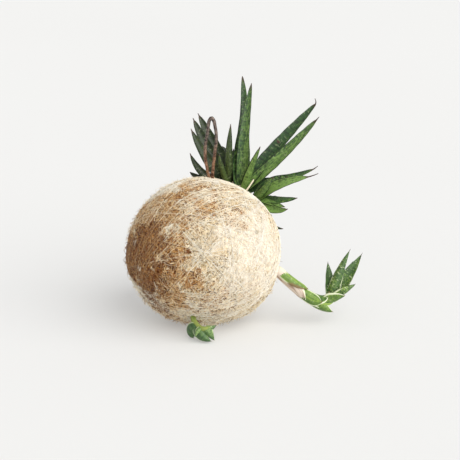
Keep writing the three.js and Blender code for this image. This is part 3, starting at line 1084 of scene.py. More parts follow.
@dataclass(frozen=True)
class BallForm:
    """The ball's plain surface, as a distance from its centre in each direction."""

    half_width: float = 47.6
    half_depth: float = 46.8
    half_height: float = 46.2
    rest_radius: float = 13.0
    wrap: float = 6.0
    swells: tuple[Swell, ...] = (
        Swell((4.3, 0.8, 2.1), 0.6, 0.3),
        Swell((-2.7, 5.1, 0.9), 1.9, 0.25),
        Swell((1.2, 3.4, 6.2), -0.8, 0.2),
    )
    lumps: tuple[Lump, ...] = (
        Lump((0.8, -0.2, -0.56), 1.2, 0.5),
        Lump((0.43, 0.28, 0.86), -1.4, 0.52),
        Lump((-0.98, -0.1, -0.12), 0.8, 0.22),
        Lump((-0.6, -0.3, -0.74), 0.7, 0.26),
    )
    floor_near: float = -0.97
    floor_clear: float = -0.8

    @property
    def centre(self) -> np.ndarray:
        """Gives the ball's centre, above the middle of the flat spot."""
        share = 1 - (self.rest_radius / self.half_width) ** 2
        return np.array([0.0, 0.0, self.half_height * math.sqrt(share)])

    def ellipsoid(self, directions: np.ndarray, inset: float = 0.0) -> np.ndarray:
        """Gives the plain radius in each direction, less an inset."""
        halves = np.array([self.half_width, self.half_depth, self.half_height]) - inset
        return 1 / np.linalg.norm(directions / halves, axis=1)

    def radius(self, directions: np.ndarray) -> np.ndarray:
        """Gives the radius of the lumpy moss, which has no lumps where it rests.

        Args:
            directions: Unit directions from the centre.

        Returns:
            The radius in each.
        """
        relief = np.zeros(len(directions))
        for swell in self.swells:
            relief += swell.height * np.sin(directions @ np.array(swell.wave) + swell.start)
        for lump in self.lumps:
            angle = np.arccos(np.clip(directions @ unit(np.array(lump.towards)), -1, 1))
            relief += lump.height * np.exp(-((angle / lump.spread) ** 2))
        share = (directions[:, 2] - self.floor_near) / (self.floor_clear - self.floor_near)
        share = np.clip(share, 0, 1)
        return self.ellipsoid(directions) + relief * share * share * (3 - 2 * share)

    def surface(self, directions: np.ndarray, lift: np.ndarray | float = 0.0) -> np.ndarray:
        """Gives the points of the moss surface in unit directions, lifted by a distance."""
        reach = self.radius(directions) + lift
        return directions * reach[:, None] + self.centre

    def towards(self, place: Triple) -> np.ndarray:
        """Gives the unit direction from the centre to a place."""
        return unit(np.array(place) - self.centre)


def round_skin(level: int) -> tuple[np.ndarray, Faces]:
    """Gives a ball of nearly equal triangles.

    Args:
        level: How often the first twenty triangles are halved.

    Returns:
        Unit directions and the faces on them.
    """
    ball = bmesh.new()
    bmesh.ops.create_icosphere(ball, subdivisions=level, radius=1.0)
    directions = unit(np.array([corner.co for corner in ball.verts]))
    faces = [tuple(corner.index for corner in face.verts) for face in ball.faces]
    ball.free()
    return directions, faces


@dataclass(frozen=True)
class Fibres:
    """A layer of curled fibres on the moss.

    The density is the number on a square metre, and the shaggy side of the ball has more of them.
    The lift is how far they lie above the moss, and the rise how far their ends stand off.
    """

    name: str
    density: float
    seed: int
    shortest: float
    longest: float
    thickness: float
    curl: float
    lift: float
    rise: float
    points: int = 5
    shaggy: Triple = (0.0, 0.0, 0.0)


@dataclass
class MossBall:
    """The moss wrap: a matted shell, the fibres felted over it, and the loose ends that stand off.

    The skin levels are those of the outer surface and of the wall inside. The shell starts sunk under
    the form's surface, and its clumps and its grain, of their own sizes and heights, rise from there.
    """

    form: BallForm
    skin_level: int = 7
    inside_level: int = 4
    sunk: float = 0.5
    clump: float = 6.0
    clump_height: float = 0.55
    grain: float = 1.7
    grain_height: float = 0.6
    curl_grain: float = 4.0
    seed: int = 11
    layers: tuple[Fibres, ...] = (
        Fibres("moss_crumbs", 4e5, 18, 0.9, 2.8, 0.34, 1.8, 0.4, 0.7, points=3, shaggy=(-0.7, -0.6, -0.2)),
        Fibres("moss_felt", 1.9e5, 11, 3, 9, 0.13, 2.6, 0.35, 0.4),
        Fibres("moss_loose_ends", 4e4, 12, 2.5, 7, 0.14, 3.4, 0.5, 2.6, shaggy=(-1.0, -0.3, -0.7)),
    )
    wisp_foot: Triple = (26, 11.4, 79.4)
    wisp_bend: Triple = (29, 9.7, 84.1)
    wisp_end: Triple = (31.1, 8.9, 88)

    def build(self) -> list[bpy.types.Object]:
        """Makes the wrap's pieces.

        Returns:
            The shell, the layers of fibre and a dry wisp that stands off.
        """
        shell = self._shell()
        tree = self._felt_tree()
        layers = [self._layer(tree, shell, fibres) for fibres in self.layers]
        self._line(shell)
        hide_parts("moss_wrap")
        strip = Leaf(self.wisp_end, self.wisp_bend, 0.9, (0.3, -0.8, 0.5), 1.0, base=0.3, hair=0.1)
        wisp = CROWN_BLADE.blade(np.array(self.wisp_foot), strip, self.seed).piece("dry_wisp", FIBRE)
        pieces = [shell, *layers, wisp]
        return pieces

    def _shell(self) -> bpy.types.Object:
        """Makes the matted outer surface with its clumps and grain.

        Returns:
            The surface as a piece.
        """
        directions, faces = round_skin(self.skin_level)
        shell = Skin(self.form.surface(directions, -self.sunk), faces).piece("moss_shell")
        labels = ("Clump", "Clump Height", "Grain", "Grain Height", "Seed")
        tree = GrownTree("matted_moss", dict.fromkeys(labels, "Float"))
        graph = tree.graph
        place = graph.value("GeometryNodeInputPosition")
        height: Value | float = 0.0
        for coat in ("Grain", "Clump"):
            inputs = {"Vector": place, "W": tree.given("Seed"), "Scale": 1 / tree.given(coat), "Detail": 1.5}
            noise = graph.value("ShaderNodeTexNoise", {"noise_dimensions": "4D"}, inputs)
            height = (noise - 0.5) * 2 * tree.given(f"{coat} Height") + height
        offset = graph.vector("SCALE", graph.value("GeometryNodeInputNormal"), height)
        tree.ends(tree.above_floor(tree.moved(tree.given("Geometry"), Offset=offset), 0.0))
        return tree.grow(
            shell, clump=self.clump * MM, clump_height=self.clump_height * MM, grain=self.grain * MM,
            grain_height=self.grain_height * MM, seed=float(self.seed), material=MOSS.material(),
        )

    @staticmethod
    def _layer(tree: GrownTree, shell: bpy.types.Object, fibres: Fibres) -> bpy.types.Object:
        """Grows one layer of fibres on the shell.

        Args:
            tree: The tree that makes fibres.
            shell: The moss that they lie on.
            fibres: Their sizes.

        Returns:
            The layer as a piece.
        """
        sizes = asdict(fibres)
        start = placed(sizes.pop("name"), shell.data.copy())
        for length in ("shortest", "longest", "thickness", "curl", "lift", "rise"):
            sizes[length] *= MM
        return tree.grow(start, **sizes, material=FIBRE.material())

    def _felt_tree(self) -> GrownTree:
        """Makes the tree that scatters curled fibres and lays them along the surface.

        Returns:
            The tree.
        """
        labels = ("Density", "Shortest", "Longest", "Thickness", "Curl", "Lift", "Rise")
        sizes = dict.fromkeys(labels, "Float") | {"Shaggy": "Vector", "Seed": "Int", "Points": "Int"}
        tree = GrownTree("felted_fibres", sizes)
        fibres = self._scattered(tree)
        graph = tree.graph
        swirl = graph.value("GeometryNodeInputNamedAttribute", {"data_type": "FLOAT"}, {"Name": "swirl"})
        place = graph.value("GeometryNodeInputPosition")
        inputs = {"Vector": place, "W": swirl * 9, "Scale": 1 / (self.curl_grain * MM), "Detail": 0}
        bent = graph.value("ShaderNodeTexNoise", {"noise_dimensions": "4D"}, inputs, "Color")
        bent = graph.vector("SUBTRACT", bent, (0.5, 0.5, 0.5))
        fibres = tree.moved(fibres, Offset=graph.vector("SCALE", bent, tree.given("Curl") * 2))
        skin = {"Geometry": tree.given("Geometry")}
        nearest = graph.value("GeometryNodeProximity", {"target_element": "FACES"}, skin)
        share = graph.value("GeometryNodeSplineParameter", output="Factor")
        loose = (share - 0.15 * swirl).most(0.0) ** 2
        rise = tree.given("Lift") * swirl * 2 + tree.given("Rise") * loose
        height = graph.vector("SCALE", self._outwards(graph, nearest), rise)
        fibres = tree.moved(fibres, Position=graph.vector("ADD", nearest, height))
        profile = graph.value("GeometryNodeCurvePrimitiveCircle", {}, {"Resolution": 3, "Radius": 1.0})
        end = (share * 2 - 1).size()
        thin = tree.given("Thickness") * (1 - 0.65 * (end ** 2))
        tube = graph.value(
            "GeometryNodeCurveToMesh", {},
            {"Curve": fibres, "Profile Curve": profile, "Scale": thin, "Fill Caps": True},
        )
        tree.ends(tree.above_floor(tube, 0.1))
        return tree

    def _scattered(self, tree: GrownTree) -> Value:
        """Scatters straight fibres over the moss, turned at random, with their own tone and swirl.

        Args:
            tree: The tree that makes fibres.

        Returns:
            The fibres as curves.
        """
        graph = tree.graph

        def drawn(least: Value | float, most: Value | float, offset: int) -> Value:
            """Draws a number for each fibre."""
            inputs = {2: least, 3: most, "Seed": tree.given("Seed") + offset}
            return graph.value("FunctionNodeRandomValue", {"data_type": "FLOAT"}, inputs, 1)

        outwards = self._outwards(graph, graph.value("GeometryNodeInputPosition"))
        towards = graph.vector("DOT_PRODUCT", outwards, tree.given("Shaggy"))
        density = tree.given("Density") * (towards + 1).most(0.15)
        scatter = graph.node(
            "GeometryNodeDistributePointsOnFaces", {},
            {"Mesh": tree.given("Geometry"), "Density": density, "Seed": tree.given("Seed")},
        )
        turn = graph.value("FunctionNodeAxisAngleToRotation", {}, {"Angle": drawn(0.0, 2 * math.pi, 1)})
        rotation = graph.value(
            "FunctionNodeRotateRotation", {"rotation_space": "LOCAL"},
            {0: Value(graph, scatter.outputs["Rotation"]), 1: turn},
        )
        straight = graph.value("GeometryNodeCurvePrimitiveLine", {}, {0: (-0.5, 0, 0), 1: (0.5, 0, 0)})
        points = {"Curve": straight, "Count": tree.given("Points")}
        straight = graph.value("GeometryNodeResampleCurve", {}, points)
        length = drawn(tree.given("Shortest"), tree.given("Longest"), 2)
        stretch = graph.value("ShaderNodeCombineXYZ", {}, {0: length, 1: 1, 2: 1})
        strands = graph.value("GeometryNodeInstanceOnPoints", {}, {
            "Points": Value(graph, scatter.outputs["Points"]),
            "Instance": straight,
            "Rotation": rotation,
            "Scale": stretch,
        })
        for name, offset in (("tone", 3), ("swirl", 4)):
            strands = graph.value(
                "GeometryNodeStoreNamedAttribute", {"data_type": "FLOAT", "domain": "INSTANCE"},
                {"Geometry": strands, "Name": name, "Value": drawn(0.0, 1.0, offset)},
            )
        return graph.value("GeometryNodeRealizeInstances", {}, {"Geometry": strands})

    def _outwards(self, graph: Graph, place: Value) -> Value:
        """Gives the unit direction from the ball's centre to a place."""
        return graph.vector("NORMALIZE", graph.vector("SUBTRACT", place, tuple(self.form.centre * MM)))

    def _line(self, shell: bpy.types.Object) -> None:
        """Adds the wrap's inner wall, facing the soil.

        Args:
            shell: The piece that gets it.
        """
        directions, faces = round_skin(self.inside_level)
        inner = directions * self.form.ellipsoid(directions, self.form.wrap)[:, None] + self.form.centre
        mesh = shell.data
        outer = np.empty(len(mesh.vertices) * 3)
        mesh.vertices.foreach_get("co", outer)
        outer_faces = [tuple(face.vertices) for face in mesh.polygons]
        wall = Skin(inner, [face[::-1] for face in faces])
        whole = Skin.joined([Skin(outer.reshape(-1, 3) / MM, outer_faces), wall])
        lined = whole.piece("moss_shell_lined", MOSS)
        shell.data = lined.data
        bpy.data.objects.remove(lined)


# The thread


@dataclass(frozen=True)
class Turns:
    """A bundle of turns of thread that pass one part of the ball, as seen from the front.

    Each lies in a plane near the ball's centre. The lean is the side of the ball that the bundle
    keeps to, in degrees anticlockwise from the right, and the offsets say how far out it keeps.
    """

    count: int
    lean: float
    offsets: tuple[float, float]
    scatter: float


@dataclass(frozen=True)
class Parting:
    """A stem or a wire that the thread passes: the least angle to it, and the angle that it reaches."""

    place: Triple
    clear: float
    reach: float


@dataclass
class ThreadWinding:
    """Fine thread wound round the ball in bundles and singly, parting at each stem."""

    form: BallForm
    partings: Sequence[Parting]
    bundles: tuple[Turns, ...] = (
        Turns(54, 133, (0.3, 0.97), 6),
        Turns(7, 133, (-0.05, 0.05), 4),
        Turns(8, 42, (-0.04, 0.06), 4),
        Turns(24, -88, (0.5, 0.9), 7),
        Turns(4, 180, (0.5, 0.92), 4),
        Turns(3, 96, (0.0, 0.2), 5),
        Turns(14, -35, (0.2, 0.75), 9),
        Turns(14, 75, (0.35, 0.85), 9),
    )
    strays: int = 70
    steps: int = 72
    sides: int = 3
    thickness: float = 0.27
    slub: float = 5.0
    lifts: tuple[float, float] = (-0.2, 0.65)
    tones: tuple[float, float] = (0.25, 1.0)
    seam: Triple = (0.13, 0.21, 0.97)
    missing: float = 0.05
    wander: float = 0.012
    tilt: float = 18.0
    seed: int = 5

    def build(self) -> list[bpy.types.Object]:
        """Makes the winding.

        Returns:
            The winding as one piece.
        """
        draws = np.random.default_rng(self.seed)
        normals, shifts = self._planes(draws)
        count = len(normals)
        starts = unit(np.cross(np.array(self.seam), normals))
        flanks = np.cross(normals, starts)
        turn = full_turn(self.steps)
        flat = starts[:, None] * np.cos(turn)[:, None] + flanks[:, None] * np.sin(turn)[:, None]
        directions = flat * np.cos(shifts)[:, None, None] + (normals * np.sin(shifts)[:, None])[:, None]
        waves = draws.integers(2, 6, count)[:, None]
        phases = draws.uniform(0, 6, count)[:, None]
        wander = self.wander * np.sin(turn * waves + phases)
        directions = unit(directions + normals[:, None] * wander[:, :, None]).reshape(-1, 3)
        for parting in self.partings:
            directions = self._parted(directions, parting)
        lift = np.repeat(draws.uniform(*self.lifts, count), self.steps)
        points = self.form.surface(directions, lift)
        tone = np.repeat(draws.uniform(*self.tones, count), self.steps)
        start = self._paths(points, tone, count)
        winding = self._tree().grow(
            start, thickness=self.thickness * MM / 2, sides=self.sides, material=THREAD.material()
        )
        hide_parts("winding_thread")
        return [winding]

    def _planes(self, draws: np.random.Generator) -> tuple[np.ndarray, np.ndarray]:
        """Draws the plane of each turn.

        Args:
            draws: Where the random numbers come from.

        Returns:
            The planes' unit normals, and the angles by which the turns miss a great circle.
        """
        tilt = math.radians(self.tilt)
        right = np.array([1.0, 0.0, 0.0])
        up = np.array([0.0, math.sin(tilt), math.cos(tilt)])
        toward = np.array([0.0, -math.cos(tilt), math.sin(tilt)])
        normals = []
        for bundle in self.bundles:
            for _ in range(bundle.count):
                lean = math.radians(bundle.lean + draws.normal(0, bundle.scatter))
                offset = draws.uniform(*bundle.offsets)
                side = right * math.cos(lean) + up * math.sin(lean)
                line = right * -math.sin(lean) + up * math.cos(lean)
                middle = toward * math.sqrt(1 - offset ** 2) + side * offset
                normals.append(np.cross(line, middle))
        strays = unit(draws.normal(size=(self.strays, 3)))
        normals = unit(np.vstack([np.array(normals), strays]))
        return normals, draws.normal(0, self.missing, len(normals))

    def _parted(self, directions: np.ndarray, parting: Parting) -> np.ndarray:
        """Moves directions aside where they come near a stem or a wire.

        Args:
            directions: Unit directions.
            parting: What they come near.

        Returns:
            The moved directions.
        """
        away = self.form.towards(parting.place)
        near = directions @ away
        angle = np.arccos(np.clip(near, -1, 1))
        clear, reach = parting.clear, parting.reach
        wanted = np.where(angle < reach, clear + angle * (reach - clear) / reach, angle)
        side = directions - away * near[:, None]
        side /= np.maximum(np.linalg.norm(side, axis=1, keepdims=True), 1e-9)
        return away * np.cos(wanted)[:, None] + side * np.sin(wanted)[:, None]

    def _paths(self, points: np.ndarray, tone: np.ndarray, count: int) -> bpy.types.Object:
        """Makes one closed path of edges for each turn.

        Args:
            points: The points of all turns.
            tone: The tone at each point.
            count: The number of turns.

        Returns:
            The paths, for a tree to start from.
        """
        first = np.arange(len(points))
        second = np.roll(first.reshape(count, self.steps), -1, axis=1).ravel()
        mesh = bpy.data.meshes.new("thread")
        mesh.from_pydata((points * MM).tolist(), np.stack([first, second], axis=1).tolist(), [])
        mesh.attributes.new("tone", "FLOAT", "POINT").data.foreach_set("value", tone.astype(np.float32))
        return placed("thread_turns", mesh)

    def _tree(self) -> GrownTree:
        """Makes the tree that turns paths into thread of uneven thickness.

        Returns:
            The tree.
        """
        tree = GrownTree("thread_on_paths", {"Thickness": "Float", "Sides": "Int"})
        graph = tree.graph
        paths = graph.value("GeometryNodeMeshToCurve", {}, {"Mesh": tree.given("Geometry")})
        circle = {"Resolution": tree.given("Sides"), "Radius": 1.0}
        profile = graph.value("GeometryNodeCurvePrimitiveCircle", {}, circle)
        place = graph.value("GeometryNodeInputPosition")
        inputs = {"Vector": place, "Scale": 1 / (self.slub * MM), "Detail": 1}
        slub = graph.value("ShaderNodeTexNoise", {}, inputs)
        tube = graph.value(
            "GeometryNodeCurveToMesh", {},
            {"Curve": paths, "Profile Curve": profile, "Scale": tree.given("Thickness") * (slub + 0.55)},
        )
        tree.ends(tree.above_floor(tube, 0.15))
        return tree


# The soil and the wire loop


@dataclass
class SoilBall:
    """The soil inside the moss, which keeps its CAD solid."""

    def build(self) -> list[bpy.types.Object]:
        """Dresses the soil."""
        dress(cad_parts["root_ball"], SOIL)
        return []


@dataclass
class WireLoop:
    """A hairpin of bare wire pushed into the ball, in one upright plane.

    The profile goes along the wire, as distances to the right of its foot and up from it.
    """

    form: BallForm
    foot: tuple[float, float] = (4.6, 8.0)
    foot_height: float = 92.0
    diameter: float = 2.0
    unevenness: float = 0.02
    bend_swell: float = 0.12
    sides: int = 14
    steps: int = 180
    profile: tuple[tuple[float, float], ...] = (
        (2.4, -20), (1.6, -8), (1.0, 0), (1.35, 6.6), (2.1, 13), (2.6, 18), (3.4, 24), (3.35, 28.8),
        (2.65, 33.4), (1.95, 36.8), (0.55, 38.7), (-0.8, 37.1), (-1.45, 33.7), (-1.95, 29.4), (-2.8, 25),
        (-3.3, 21.4), (-3.5, 17), (-3.3, 12), (-2.3, 6.6), (-1.2, 0), (-1.6, -8), (-2.4, -20),
    )

    def build(self) -> list[bpy.types.Object]:
        """Makes the loop.

        Returns:
            The loop as one piece.
        """
        above = (self.foot[0], self.foot[1], float(self.form.centre[2]) + self.form.half_height)
        base = self.form.surface(self.form.towards(above)[None])[0]
        knots = [(base[0] + across, base[1], base[2] + up) for across, up in self.profile]
        line = smooth_path(knots, self.steps)
        out = np.cross(unit(np.gradient(line, axis=0)), BACK)
        share = np.linspace(0, 1, self.steps)
        swell = self.bend_swell * np.exp(-(((share - 0.5) / 0.05) ** 2))
        reach = self.diameter / 2 * (1 + self.unevenness * np.sin(along_lengths(line) * 1.7) + swell)
        rings = rings_round(line, reach, full_turn(self.sides), out, BACK)
        loop = Skin.lofted(rings).piece("hanging_wire", WIRE)
        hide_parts("wire_loop")
        return [loop]


# Leaves and shoots


@dataclass(frozen=True)
class Leaf:
    """One leaf: a curve from its root, bent at a knee, to its tip. Its channel faces one way.

    The tone goes from 0, dark, to 1, yellow-green. The base goes from 0, narrow, to 0.5, where the
    leaf is widest at its root. The hair and the place of the scar, a brown nick, are shares of the
    length. The curl moves the end of the hair, and the sway bends the leaf to an S.
    """

    tip: Triple
    knee: Triple
    width: float
    faces: Triple
    tone: float = 0.5
    at: float = 0.96
    base: float = 0.2
    hair: float = 0.045
    scar: float = -1.0
    curl: Triple = (0.0, 0.0, 0.0)
    sway: Triple = (0.0, 0.0, 0.0)


@dataclass(frozen=True)
class BladeForm:
    """What all leaves share: the section of the channel and the way the blade narrows."""

    taper: float = 0.52
    cup: float = 0.9
    thickness: float = 1.9
    edge: float = 0.42
    thinning: float = 0.72
    hair: float = 0.42
    waist_stretch: float = 0.8
    rings: int = 46
    hair_rings: int = 8
    shares: int = 11
    overlap: float = 0.012
    waves: float = 0.022
    flutes: float = 0.1
    ripples: tuple[float, float] = (0.05, 0.12)
    keel: float = 0.12

    def blade(self, root: np.ndarray, leaf: Leaf, seed: int) -> Skin:
        """Makes one leaf.

        Args:
            root: Where the leaf starts, inside its stem.
            leaf: The leaf's own sizes.
            seed: Sets the small waves of its edges.

        Returns:
            Its closed skin.
        """
        hair_from = 1 - leaf.hair
        t = np.concatenate([
            np.linspace(0, hair_from, self.rings, endpoint=False),
            np.linspace(hair_from, 1, self.hair_rings),
        ])
        past = np.clip((t - hair_from) / leaf.hair, 0, 1)
        line = self._middle(root, leaf, t, past)
        along = unit(np.gradient(line, t, axis=0))
        across = unit(np.cross(np.array(leaf.faces), along))
        facing = np.cross(along, across)
        draws = np.random.default_rng(seed)
        lengths = along_lengths(line)
        blade_share = np.clip(t / (hair_from + self.overlap), 0, 1)
        phase = leaf.base + (1 - leaf.base) * blade_share ** self.waist_stretch
        swell = np.abs(np.sin(np.pi * phase)) ** self.taper
        wave = 1 + self.waves * np.sin(lengths * 0.55 + draws.uniform(0, 6)) * (1 - past)
        half = np.maximum(leaf.width * swell * wave / 2, self.hair * (1 - 0.6 * past))
        thick = self.thickness + (self.edge - self.thickness) * t ** 2
        thick = np.minimum(thick, 1.3 * half)
        shares = np.sin(np.linspace(-1, 1, self.shares) * np.pi / 2)
        radius = half / math.sin(self.cup)
        side = np.sin(shares * self.cup)[None] * radius[:, None]
        rise = (1 - np.cos(shares * self.cup))[None] * radius[:, None]
        broad = np.clip(half - 1, 0, 1)[:, None]
        flute = self.flutes * np.cos(shares * 3 * np.pi)[None] * broad
        ripple = draws.uniform(*self.ripples) * np.sin(lengths * 0.9 + draws.uniform(0, 6))
        rise = rise + flute + ripple[:, None] * (shares ** 2)[None] * broad
        depth = thick[:, None] * (1 - self.thinning * shares ** 2)[None]
        depth = np.maximum(depth, np.minimum(self.edge, half)[:, None])
        keel = self.keel * np.cos(shares * 4 * np.pi)[None] * broad
        upper = line[:, None] + across[:, None] * side[:, :, None] + facing[:, None] * rise[:, :, None]
        lower = upper - facing[:, None] * (depth + keel)[:, :, None]
        rings = np.concatenate([upper, lower[:, ::-1]], axis=1)
        around = 2 * self.shares
        both = np.concatenate([shares, shares[::-1]])
        marks = {
            "across": np.tile(both, len(t)),
            "along": np.repeat(np.minimum(t / hair_from, 1) * 0.95 + past * 0.05, around),
            "reach": np.repeat(lengths, around),
            "tone": np.repeat(np.clip(leaf.tone + 0.35 * (0.35 - t), 0, 1), around),
            "scar": self._scar(leaf.scar, t, both),
        }
        return Skin.lofted(rings, marks)

    @staticmethod
    def _middle(root: np.ndarray, leaf: Leaf, t: np.ndarray, past: np.ndarray) -> np.ndarray:
        """Gives the line along a leaf's middle.

        Args:
            root: Where the leaf starts.
            leaf: The leaf's own sizes.
            t: The share of the length at each point.
            past: How far each point is along the hair.

        Returns:
            The points.
        """
        knee, tip = np.array(leaf.knee), np.array(leaf.tip)
        line = ((1 - t) ** 2)[:, None] * root + (2 * t * (1 - t))[:, None] * knee + (t ** 2)[:, None] * tip
        line = line + (past ** 2)[:, None] * np.array(leaf.curl)
        return line + np.sin(2 * np.pi * t)[:, None] * np.array(leaf.sway)

    @staticmethod
    def _scar(place: float, t: np.ndarray, shares: np.ndarray) -> np.ndarray:
        """Gives how brown a nick near one edge makes each point.

        Args:
            place: The nick's share of the length.
            t: The share of the length of each ring.
            shares: The place across the leaf of each point of a ring.

        Returns:
            The brown at every point.
        """
        along = 0.8 * np.exp(-(((t - place) / 0.014) ** 2))
        return (along[:, None] * np.exp(-(((shares - 0.4) / 0.4) ** 2))[None]).ravel()


CROWN_BLADE = BladeForm()
YOUNG_BLADE = BladeForm(taper=0.78, hair=0.2)


@dataclass
class LeafyShoot:
    """A rosette on a short stem that stands in the ball."""

    name: str
    foot: Triple
    axis: Triple
    leaves: tuple[Leaf, ...]
    finish: LeafFinish
    blade: BladeForm = CROWN_BLADE
    stem_radius: float = 3.0
    stem_above: float = 3.6
    stem_below: float = 15.0
    leaf_root: float = 1.6
    stem_sides: int = 20
    stem_rings: int = 14

    def build(self) -> list[bpy.types.Object]:
        """Makes the shoot.

        Returns:
            The stem and its leaves as one piece.
        """
        up = unit(np.array(self.axis))
        root = np.array(self.foot) + up * self.leaf_root
        skins = [self.blade.blade(root, leaf, seed) for seed, leaf in enumerate(self.leaves)]
        shoot = Skin.joined([self._stem(up), *skins]).piece(self.name, self.finish)
        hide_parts(self.name)
        return [shoot]

    def _stem(self, up: np.ndarray) -> Skin:
        """Makes the short stem, narrowing to a blunt end in the soil and a crown above.

        Args:
            up: The stem's unit direction.

        Returns:
            The stem's skin.
        """
        heights = np.linspace(-self.stem_below, self.stem_above, self.stem_rings)
        line = np.array(self.foot) + up * heights[:, None]
        out = unit(np.cross(up, BACK))
        turn = full_turn(self.stem_sides)
        share = np.linspace(0, 1, self.stem_rings)
        swell = self.stem_radius * (1 - 0.35 * (1 - share) ** 6 - 0.75 * share ** 8)
        ridges = 1 + 0.03 * np.cos(5 * turn)
        rings = rings_round(line, swell[:, None] * ridges, turn, out, np.cross(up, out))
        count = self.stem_rings * self.stem_sides
        marks = {
            "across": np.zeros(count),
            "along": np.full(count, 0.1),
            "reach": np.repeat(heights, self.stem_sides),
            "tone": np.full(count, 0.9),
            "scar": np.zeros(count),
        }
        return Skin.lofted(rings, marks)


class ScaleKind(Enum):
    """What a scale is."""

    GREEN = "green"
    PAPERY = "papery"


@dataclass(frozen=True)
class Scale:
    """A scale that clasps a stem over a share of its length, turned to one side, in degrees."""

    start: float
    end: float
    side: float
    wrap: float
    tone: float = 0.6
    kind: ScaleKind = ScaleKind.GREEN
    lift: float = 0.0
    blunt: float = 2.2
    worn: float = 0.0


@dataclass
class YoungShoot:
    """A bent stem with clasping scales, and the leaves that spread from its end."""

    name: str
    path: tuple[Triple, ...]
    radius: float
    scales: tuple[Scale, ...]
    leaves: tuple[Leaf, ...]
    bracts: tuple[Leaf, ...] = ()
    finish: LeafFinish = YOUNG_LEAF
    bark: StemFinish = STEM
    blade: BladeForm = YOUNG_BLADE
    line_points: int = 400
    stem_sides: int = 20
    stem_rings: int = 70
    scale_rings: int = 22
    scale_shares: int = 17
    scale_thickness: float = 0.55
    scale_stand: float = 1.0
    scale_flare: float = 0.3
    first_seed: int = 50

    def build(self) -> list[bpy.types.Object]:
        """Makes the shoot.

        Returns:
            The stem, the scales with the bracts, the papery sheath and the leaves, as far as it has them.
        """
        line = smooth_path(self.path, self.line_points)
        parts = (
            ("stem", [self._stem(line)], self.bark),
            ("scales", self._scales(line, ScaleKind.GREEN) + self._blades(line, self.bracts), SCALE),
            ("sheath", self._scales(line, ScaleKind.PAPERY), SHEATH),
            ("leaves", self._blades(line, self.leaves), self.finish),
        )
        pieces = [
            Skin.joined(skins).piece(f"{self.name}_{part}", finish) for part, skins, finish in parts if skins
        ]
        for piece in pieces:
            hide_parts(self.name)
        return pieces

    def _blades(self, line: np.ndarray, leaves: Sequence[Leaf]) -> list[Skin]:
        """Makes leaves, each from its own place on the stem.

        Args:
            line: The middle of the stem.
            leaves: The leaves' sizes.

        Returns:
            The skin of each.
        """
        roots = [line[round(leaf.at * (len(line) - 1))] for leaf in leaves]
        seeds = range(self.first_seed, self.first_seed + len(leaves))
        return [self.blade.blade(root, leaf, seed) for root, leaf, seed in zip(roots, leaves, seeds)]

    def _scales(self, line: np.ndarray, kind: ScaleKind) -> list[Skin]:
        """Makes the scales of one kind."""
        return [self._scale(line, scale) for scale in self.scales if scale.kind is kind]

    def _stem(self, line: np.ndarray) -> Skin:
        """Makes the stem with its fine lengthwise ridges.

        Args:
            line: The middle of the stem.

        Returns:
            The stem's skin.
        """
        picked = line[np.linspace(0, len(line) - 1, self.stem_rings).round().astype(int)]
        _, upward, across = frames(picked)
        turn = full_turn(self.stem_sides)
        share = np.linspace(0, 1, self.stem_rings)
        swell = self.radius * (1 - 0.25 * share ** 10 - 0.3 * (1 - share) ** 12)
        ridges = 1 + 0.025 * np.cos(6 * turn)
        rings = rings_round(picked, swell[:, None] * ridges, turn, upward, across)
        marks = {
            "across": np.tile(np.cos(turn), self.stem_rings),
            "along": np.repeat(share, self.stem_sides),
            "reach": np.repeat(along_lengths(picked), self.stem_sides),
        }
        return Skin.lofted(rings, marks)

    def _scale(self, line: np.ndarray, scale: Scale) -> Skin:
        """Makes one scale: sunk in the stem where it starts, free at its pointed end.

        Args:
            line: The middle of the stem.
            scale: The scale's own sizes.

        Returns:
            Its closed skin.
        """
        t = np.linspace(0, 1, self.scale_rings)
        where = (scale.start + (scale.end - scale.start) * t) * (len(line) - 1)
        places = sampled(line, np.arange(len(line)), where)
        along, upward, across = frames(places)
        turned = math.radians(scale.side)
        facing = upward * math.cos(turned) - across * math.sin(turned)
        flank = np.cross(along, facing)
        shares = np.linspace(-1, 1, self.scale_shares)
        half = math.radians(scale.wrap) * np.maximum(1 - t ** scale.blunt, 0.05)
        inner = self.radius * (0.85 + 0.35 * t) + scale.lift * t ** 0.7
        thick = self.scale_thickness + (self.scale_stand - self.scale_thickness) * (1 - t) ** 2
        angle = half[:, None] * shares
        flare = self.scale_flare * (shares ** 4)[None] * (t ** 0.5)[:, None]
        outer, under = [
            rings_round(places, reach[:, None] + flare, angle, facing, flank)
            for reach in (inner + thick, inner)
        ]
        rings = np.concatenate([outer, under[:, ::-1]], axis=1)
        around = 2 * self.scale_shares
        both = np.concatenate([shares, shares[::-1]])
        worn = scale.worn * np.exp(-(((t[:, None] - 0.7) / 0.4) ** 2)) * np.clip(both * 2 - 0.6, 0, 1)
        marks = {
            "across": np.tile(both, len(t)),
            "along": np.repeat(t * 0.97, around),
            "reach": np.repeat(along_lengths(places), around),
            "tone": np.full(len(t) * around, scale.tone),
            "scar": worn.ravel(),
        }
        return Skin.lofted(rings, marks)


